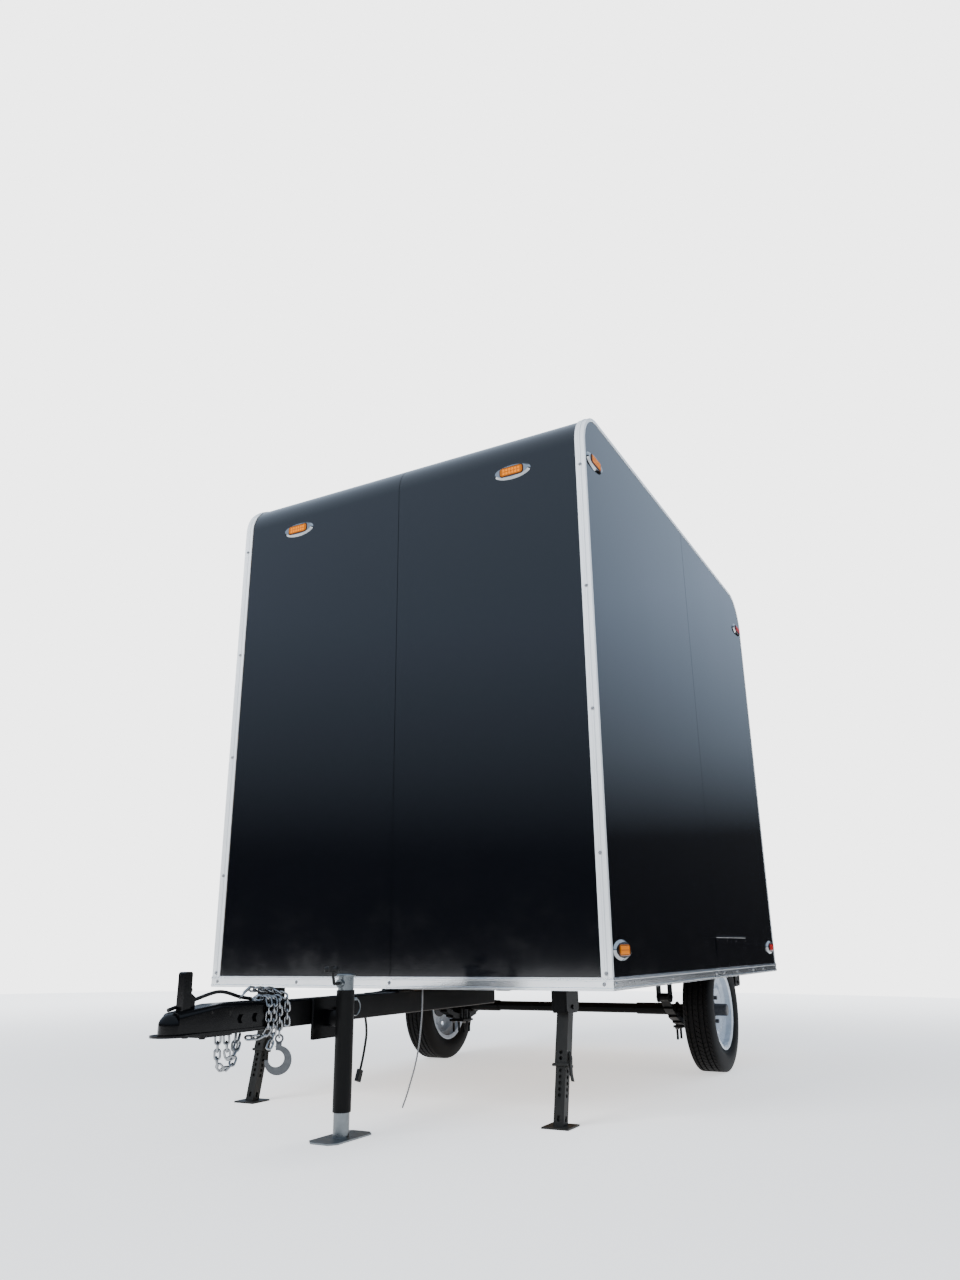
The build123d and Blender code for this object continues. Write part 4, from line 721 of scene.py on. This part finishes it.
# Tongue ring
# A ring of plated wire that hangs on a short round pin, welded into the side of
# the tongue behind the jack.
ring_center, ring_radius, ring_wire = Vector((0.078, -1.117, 0.391)), 0.027, 0.0021
pin_radius, pin_start, pin_end = 0.005, 0.038, 0.0815
ring_steps, wire_steps, pin_steps = 36, 8, 16
shell = bmesh.new()
rings = []
for i in range(ring_steps):
    angle = math.tau * i / ring_steps
    way = Vector((0, math.cos(angle), math.sin(angle)))
    ring = []
    for j in range(wire_steps):
        turn = math.tau * j / wire_steps
        ring.append(shell.verts.new(ring_center + way * (ring_radius + ring_wire * math.cos(turn))
                                    + Vector((ring_wire * math.sin(turn), 0, 0))))
    rings.append(ring)
join_rings(shell, rings)
angles = [math.tau * i / pin_steps for i in range(pin_steps)]
ends = []
for x in (pin_start, pin_end):
    ends.append([shell.verts.new((x, ring_center.y + pin_radius * math.cos(angle),
                                  ring_center.z + ring_radius + pin_radius * math.sin(angle)))
                 for angle in angles])
join_rings(shell, ends, closed=False)
shell.faces.new(ends[0][::-1])
shell.faces.new(ends[1])
bmesh.ops.recalc_face_normals(shell, faces=shell.faces)
seat(solid("tongue_ring", shell, zinc), "trailer")

# Stabilizers
# Square-tube drop legs with a spring lever and a row of holes, in worn black
# paint that has turned dark grey. A welded web stiffens each leg's bracket.
leg_paint, place = new_finish("leg paint")
grain = place.noise(180, 3, 0.6)
worn = place.stretch(1, 1, 0.4).noise(22, 5, 0.65)
close_finish(place, Base_Color=worn.tint((0.005, 0.005, 0.0045), (0.022, 0.021, 0.019)),
             Roughness=worn * 0.2 + grain * 0.1 + 0.32, Specular_IOR_Level=0.22,
             Normal=grain.bump(0.12, 0.0006))
for node in ("stabilizer_leg_front_left", "stabilizer_leg_front_right",
             "stabilizer_leg_rear_left", "stabilizer_leg_rear_right"):
    dressed(node, leg_paint, 0.0014)

web_half, web_low, web_high, web_sheet = 0.0235, 0.362, 0.4325, 0.004
web_x, web_ys = 0.685, (-0.728, 1.843)
shell = bmesh.new()
for x in (-web_x, web_x):
    for y in web_ys:
        middle = Vector((x, y + web_sheet / 2, (web_low + web_high) / 2))
        size = Matrix.Diagonal((web_half * 2, web_sheet, web_high - web_low, 1))
        bmesh.ops.create_cube(shell, size=1, matrix=Matrix.Translation(middle) @ size)
seat(solid("bracket_webs", shell, paint_black), "trailer")


# Chains
# Two zinc-plated safety chains of welded round wire, each link a quarter turn
# from the last: one wound round the tongue and coupler, one gathered under it.
def link_tree():
    """Copies of a link along a line, each a quarter turn from the last."""
    tree, start, (line, model, pitch, bend, roll, finish) = new_tree(
        "links along a line", Geometry="Geometry", Model="Object", Pitch="Float", Bend="Float",
        Roll="Float", Finish="Material")
    round_line = start.node("GeometryNodeFilletCurve", {"mode": "POLY"},
                            {"Curve": line, "Count": 8, "Limit Radius": True, "Radius": bend})
    reach = start.node("GeometryNodeCurveLength", None, {"Curve": round_line})
    count = start.math("FLOOR", start.math("DIVIDE", reach, pitch))
    number = start.node("GeometryNodeInputIndex")
    spots = start.node("GeometryNodePoints", None, {"Count": count})
    sample = tree.nodes.new("GeometryNodeSampleCurve")
    sample.mode = "LENGTH"
    sample.use_all_curves = True
    tree.links.new(round_line.output, sample.inputs["Curves"])
    tree.links.new(((number + 0.5) * pitch).output, sample.inputs["Length"])
    position, tangent = (Socket(tree, sample.outputs[name]) for name in ("Position", "Tangent"))
    placed = start.node("GeometryNodeSetPosition", None, {"Geometry": spots, "Position": position})
    cross_y, cross_x = (start.node("ShaderNodeVectorMath", {"operation": "CROSS_PRODUCT"},
                                   {0: tangent, 1: axis}) for axis in ((0, 1, 0), (1, 0, 0)))
    steep = start.node("ShaderNodeVectorMath", {"operation": "LENGTH"}, {0: cross_y}, give="Value")
    use_x = start.math("LESS_THAN", steep, 0.5)
    across = start.node("GeometryNodeSwitch", {"input_type": "VECTOR"},
                        {"Switch": use_x, "False": cross_y, "True": cross_x})
    odd = start.math("MODULO", number, 2)
    facing = start.node("ShaderNodeVectorRotate", {"rotation_type": "AXIS_ANGLE"},
                        {"Vector": across, "Axis": tangent, "Angle": roll + odd * (math.pi / 2)})
    turn = start.node("FunctionNodeAxesToRotation", {"primary_axis": "X", "secondary_axis": "Z"},
                      {"Primary Axis": tangent, "Secondary Axis": facing})
    return close_tree(start, finish, model, Points=placed, Rotation=turn)


chain_bright, place = new_finish("bright chain")
plating = place.noise(140, 4, 0.65)
close_finish(place, Base_Color=plating.tint((0.06, 0.062, 0.065), (0.46, 0.47, 0.48)),
             Metallic=1.0, Roughness=plating * 0.15 + 0.16)
link_length, link_width, link_wire = 0.036, 0.023, 0.007
link_pitch, strand_bend, strand_roll = 0.0214, 0.014, math.radians(50)
bow_steps, wire_steps = 8, 8
link_path = []
bow = (link_width - link_wire) / 2
straight = (link_length - link_width) / 2
for center, first in ((straight, -90), (-straight, 90)):
    for step in range(bow_steps + 1):
        angle = math.radians(first + step * 180 / bow_steps)
        link_path.append(Vector((center + bow * math.cos(angle), bow * math.sin(angle), 0)))
upward = Vector((0, 0, 1))
shell = bmesh.new()
rings = []
for before, spot, after in zip(link_path[-1:] + link_path[:-1], link_path,
                               link_path[1:] + link_path[:1]):
    outward = (after - before).normalized().cross(upward)
    ring = []
    for i in range(wire_steps):
        turn = math.tau * i / wire_steps
        ring.append(shell.verts.new(spot + (outward * math.cos(turn) + upward * math.sin(turn))
                                    * link_wire / 2))
    rings.append(ring)
join_rings(shell, rings)
bmesh.ops.recalc_face_normals(shell, faces=shell.faces)
link = solid("link", shell)
links = link_tree()
side_x, over_z, pile_z, under_z, hang_z = 0.0519, 0.4389, 0.4623, 0.3351, 0.3393
chain_table = (
    # name, strands of points
    ("safety_chain", (
        ((-side_x, -1.498, 0.345), (-side_x, -1.498, over_z), (side_x, -1.494, over_z),
         (side_x, -1.486, 0.318)),
        ((0.002, -1.544, over_z), (side_x, -1.544, over_z), (side_x, -1.542, 0.345),
         (side_x - 0.012, -1.555, under_z - 0.007),
         (side_x / 2 - 0.004, -1.608, under_z - 0.007)),
        ((0.002, -1.519, over_z), (side_x, -1.519, over_z), (side_x, -1.517, 0.322),
         (side_x, -1.541, 0.285)),
        ((0.006, -1.623, over_z + 0.007), (0.008, -1.597, pile_z + 0.006),
         (0.014, -1.487, pile_z), (side_x, -1.456, over_z), (side_x, -1.452, 0.352)))),
    ("spare_chain", (
        ((-0.032, -1.671, hang_z), (-0.032, -1.667, 0.262), (-0.032, -1.647, 0.243),
         (-0.032, -1.613, 0.243), (-0.032, -1.597, 0.262), (-0.032, -1.593, hang_z)),
        ((-0.006, -1.663, hang_z), (-0.006, -1.653, 0.285), (-0.006, -1.635, 0.268),
         (-0.006, -1.619, 0.285), (-0.006, -1.603, hang_z)))),
)
for name, strands in chain_table:
    whole_chain = bmesh.new()
    for strand in strands:
        line = bpy.data.curves.new("strand", "CURVE")
        line.dimensions = "3D"
        run = line.splines.new("POLY")
        run.points.add(len(strand) - 1)
        for point, spot in zip(run.points, strand):
            point.co = (*spot, 1)
        strand_links = grown("strand_links", bpy.data.objects.new("strand", line), links,
                             Model=link, Pitch=link_pitch, Bend=strand_bend, Roll=strand_roll,
                             Finish=chain_bright)
        whole_chain.from_mesh(strand_links.data)
        bpy.data.objects.remove(strand_links)
    seat(solid(name + "_links", whole_chain, chain_bright), "trailer", name)

# Slip hook
# A forged hook with softened edges, grey and slightly pitted, that hangs from
# one end of the safety chain.
forged, place = new_finish("forged steel")
pits = place.noise(75, 5, 0.65)
close_finish(place, Base_Color=pits.tint((0.055, 0.058, 0.062), (0.155, 0.16, 0.165)),
             Metallic=0.6, Roughness=pits * 0.2 + 0.4, Normal=pits.bump(0.35, 0.001))
hook = dressed("chain_hook", forged, 0.003)
hook.modifiers["edges"].segments = 4

# Lamp bezels and lenses
# Chromed oval bezels screwed round moulded lenses. Each lens has two rows of
# square prisms over its small lights, and a dark plain surround.
chrome, place = new_finish("chromed plastic")
smear = place.noise(30, 3, 0.6)
close_finish(place, Base_Color=smear.tint((0.24, 0.25, 0.26), (0.40, 0.41, 0.42)),
             Metallic=1.0, Roughness=smear * 0.08 + 0.06)
dressed("lamp_bezels", chrome, 0.0015)
lens_half_length, lens_half_width, lens_rise = 0.0565, 0.022, 0.0122
corner, corner_steps = 0.013, 6
shell = bmesh.new()
cell_mark = shell.verts.layers.float.new("cell")
top_mark = 0.4
outline = []
for quarter, (cx, cy) in enumerate(((1, 1), (-1, 1), (-1, -1), (1, -1))):
    for step in range(corner_steps + 1):
        angle = math.radians(90 * (quarter + step / corner_steps))
        outline.append(((lens_half_length - corner) * cx + corner * math.cos(angle),
                        (lens_half_width - corner) * cy + corner * math.sin(angle)))
rings = []
for share, height in (
    # share of the width, height
    (1.0, 0), (1.0, 0.0088), (0.97, 0.0105), (0.90, 0.0117), (0.78, lens_rise),
):
    rings.append([shell.verts.new((x - (1 - share) * lens_half_width * (1 if x > 0 else -1),
                                   y * share, height)) for x, y in outline])
join_rings(shell, rings, closed=False)
shell.faces.new(rings[-1])
for vertex in rings[-1]:
    vertex[cell_mark] = top_mark
cell_columns, cell_pitch, cell_gap, cell_half_x, cell_half_y = 6, 0.0142, 0.0009, 0.0060, 0.0064
cell_rise, cell_sink, cell_top = 0.0016, 0.0004, 0.72
for column in range(cell_columns):
    for row in (-1, 1):
        cx = (column - (cell_columns - 1) / 2) * cell_pitch
        cy = row * (cell_half_y + cell_gap)
        low, high = ([shell.verts.new((cx + sx * cell_half_x * size, cy + sy * cell_half_y * size,
                                       lens_rise + lift))
                      for sx, sy in ((-1, -1), (1, -1), (1, 1), (-1, 1))]
                     for size, lift in ((1.0, -cell_sink), (cell_top, cell_rise)))
        for vertex in high + low:
            vertex[cell_mark] = 1.0
        for i in range(4):
            shell.faces.new((low[i], low[(i + 1) % 4], high[(i + 1) % 4], high[i]))
        shell.faces.new(high)
lens_model = solid("lens", shell)
side_x, side_front_y, side_rear_y, front_x, front_y = 0.915, -0.680, 1.802, 0.581, -0.788
lamp_low, lamp_high = 0.570, 2.527
amber_places = [((x, front_y, lamp_high), (0, -1, 0), (1, 0, 0)) for x in (-front_x, front_x)]
red_places = []
for side in (-1, 1):
    for z in (lamp_low, lamp_high):
        amber_places.append(((side * side_x, side_front_y, z), (side, 0, 0), (0, 1, 0)))
        red_places.append(((side * side_x, side_rear_y, z), (side, 0, 0), (0, 1, 0)))
for node, slot, places, dark, light in (
    ("lamp_lenses_amber", "amber", amber_places, (0.006, 0.002, 0.001), (0.66, 0.175, 0.0)),
    ("lamp_lenses_red", "red", red_places, (0.006, 0.001, 0.001), (0.34, 0.008, 0.006)),
):
    lens_finish, place = new_finish(node.replace("_", " "))
    cell = place.node("ShaderNodeAttribute", {"attribute_name": "cell"}, give="Fac")
    flow = place.noise(130, 2, 0.5)
    # Painted light: the prism cells are painted bright against the plain surround, and each lens
    # glows faintly through Emission, as if lit from behind, though the lamps are unlit.
    depth = cell * 0.95 + flow * 0.05
    colour = depth.tint(dark, light)
    close_finish(place, Base_Color=colour, Emission_Color=colour, Emission_Strength=0.3,
                 Roughness=flow * 0.1 + 0.2, Specular_IOR_Level=0.15)
    seat(stood_on(node + "_lens", places, lens_model, lens_finish), "trailer", node)

# Tail lamps
# Long oval red lamps screwed on the rear posts, each moulded in one piece with
# fine prisms over its face.
tail_red, place = new_finish("tail lamp red")
prism = place.node("ShaderNodeTexVoronoi", {"feature": "F1"}, {"Vector": place, "Scale": 90})
close_finish(place,
             Base_Color=prism.band(0.1, 0.7).tint((0.50, 0.02, 0.015), (0.16, 0.004, 0.004)),
             Roughness=0.12, Coat_Weight=0.6, Coat_Roughness=0.05, Normal=prism.bump(0.3, 0.001))
dressed("tail_lamps", tail_red, 0.003)

# Rear doors
# Two framed doors in the body's skin, lined with plywood inside, with a rubber
# seal round each, strap hinges and a full-height lock rod with its handle.
seal_rubber, place = new_finish("seal rubber")
bloom = place.noise(40, 4, 0.6)
close_finish(place, Base_Color=bloom.tint((0.010, 0.010, 0.010), (0.028, 0.028, 0.027)),
             Roughness=bloom * 0.2 + 0.55)
seal_reach, seal_sink, seal_steps = 0.0034, 0.0004, 8
seal_back, seal_front = 1.882, 1.906
door_low, door_high, door_inner, door_outer = 0.500, 2.435, 0.0045, 0.800
for side, body_side in ((1, "left"), (-1, "right")):
    dressed("door_" + body_side, skin_black, 0.001, inside=liner_ply)
    dressed("lock_rod_" + body_side, zinc, 0.0015)
    shell = bmesh.new()
    rings = []
    for corner_x, corner_z, out_x, out_z in (
        (door_inner, door_low, -1, -1), (door_outer, door_low, 1, -1),
        (door_outer, door_high, 1, 1), (door_inner, door_high, -1, 1),
    ):
        ring = []
        for step in range(seal_steps + 1):
            angle = math.pi * step / seal_steps
            reach = seal_reach * math.sin(angle) ** 0.5 - seal_sink
            y = (seal_back + seal_front) / 2 - (seal_front - seal_back) / 2 * math.cos(angle)
            ring.append(shell.verts.new((side * (corner_x + out_x * reach), y,
                                         corner_z + out_z * reach)))
        rings.append(ring)
    join_rings(shell, rings)
    bmesh.ops.recalc_face_normals(shell, faces=shell.faces)
    seat(solid("door_seal_" + body_side, shell, seal_rubber), "rear_door_" + body_side)
dressed("door_hinges", zinc, 0.0006)

# Plug
# The lead's plug, moulded round the end of the lead in matt black plastic, which
# it takes on the CAD piece itself.
plug_mesh = frame["nodes"]["light_plug"].data
plug_mesh.materials.clear()
plug_mesh.materials.append(moulded)
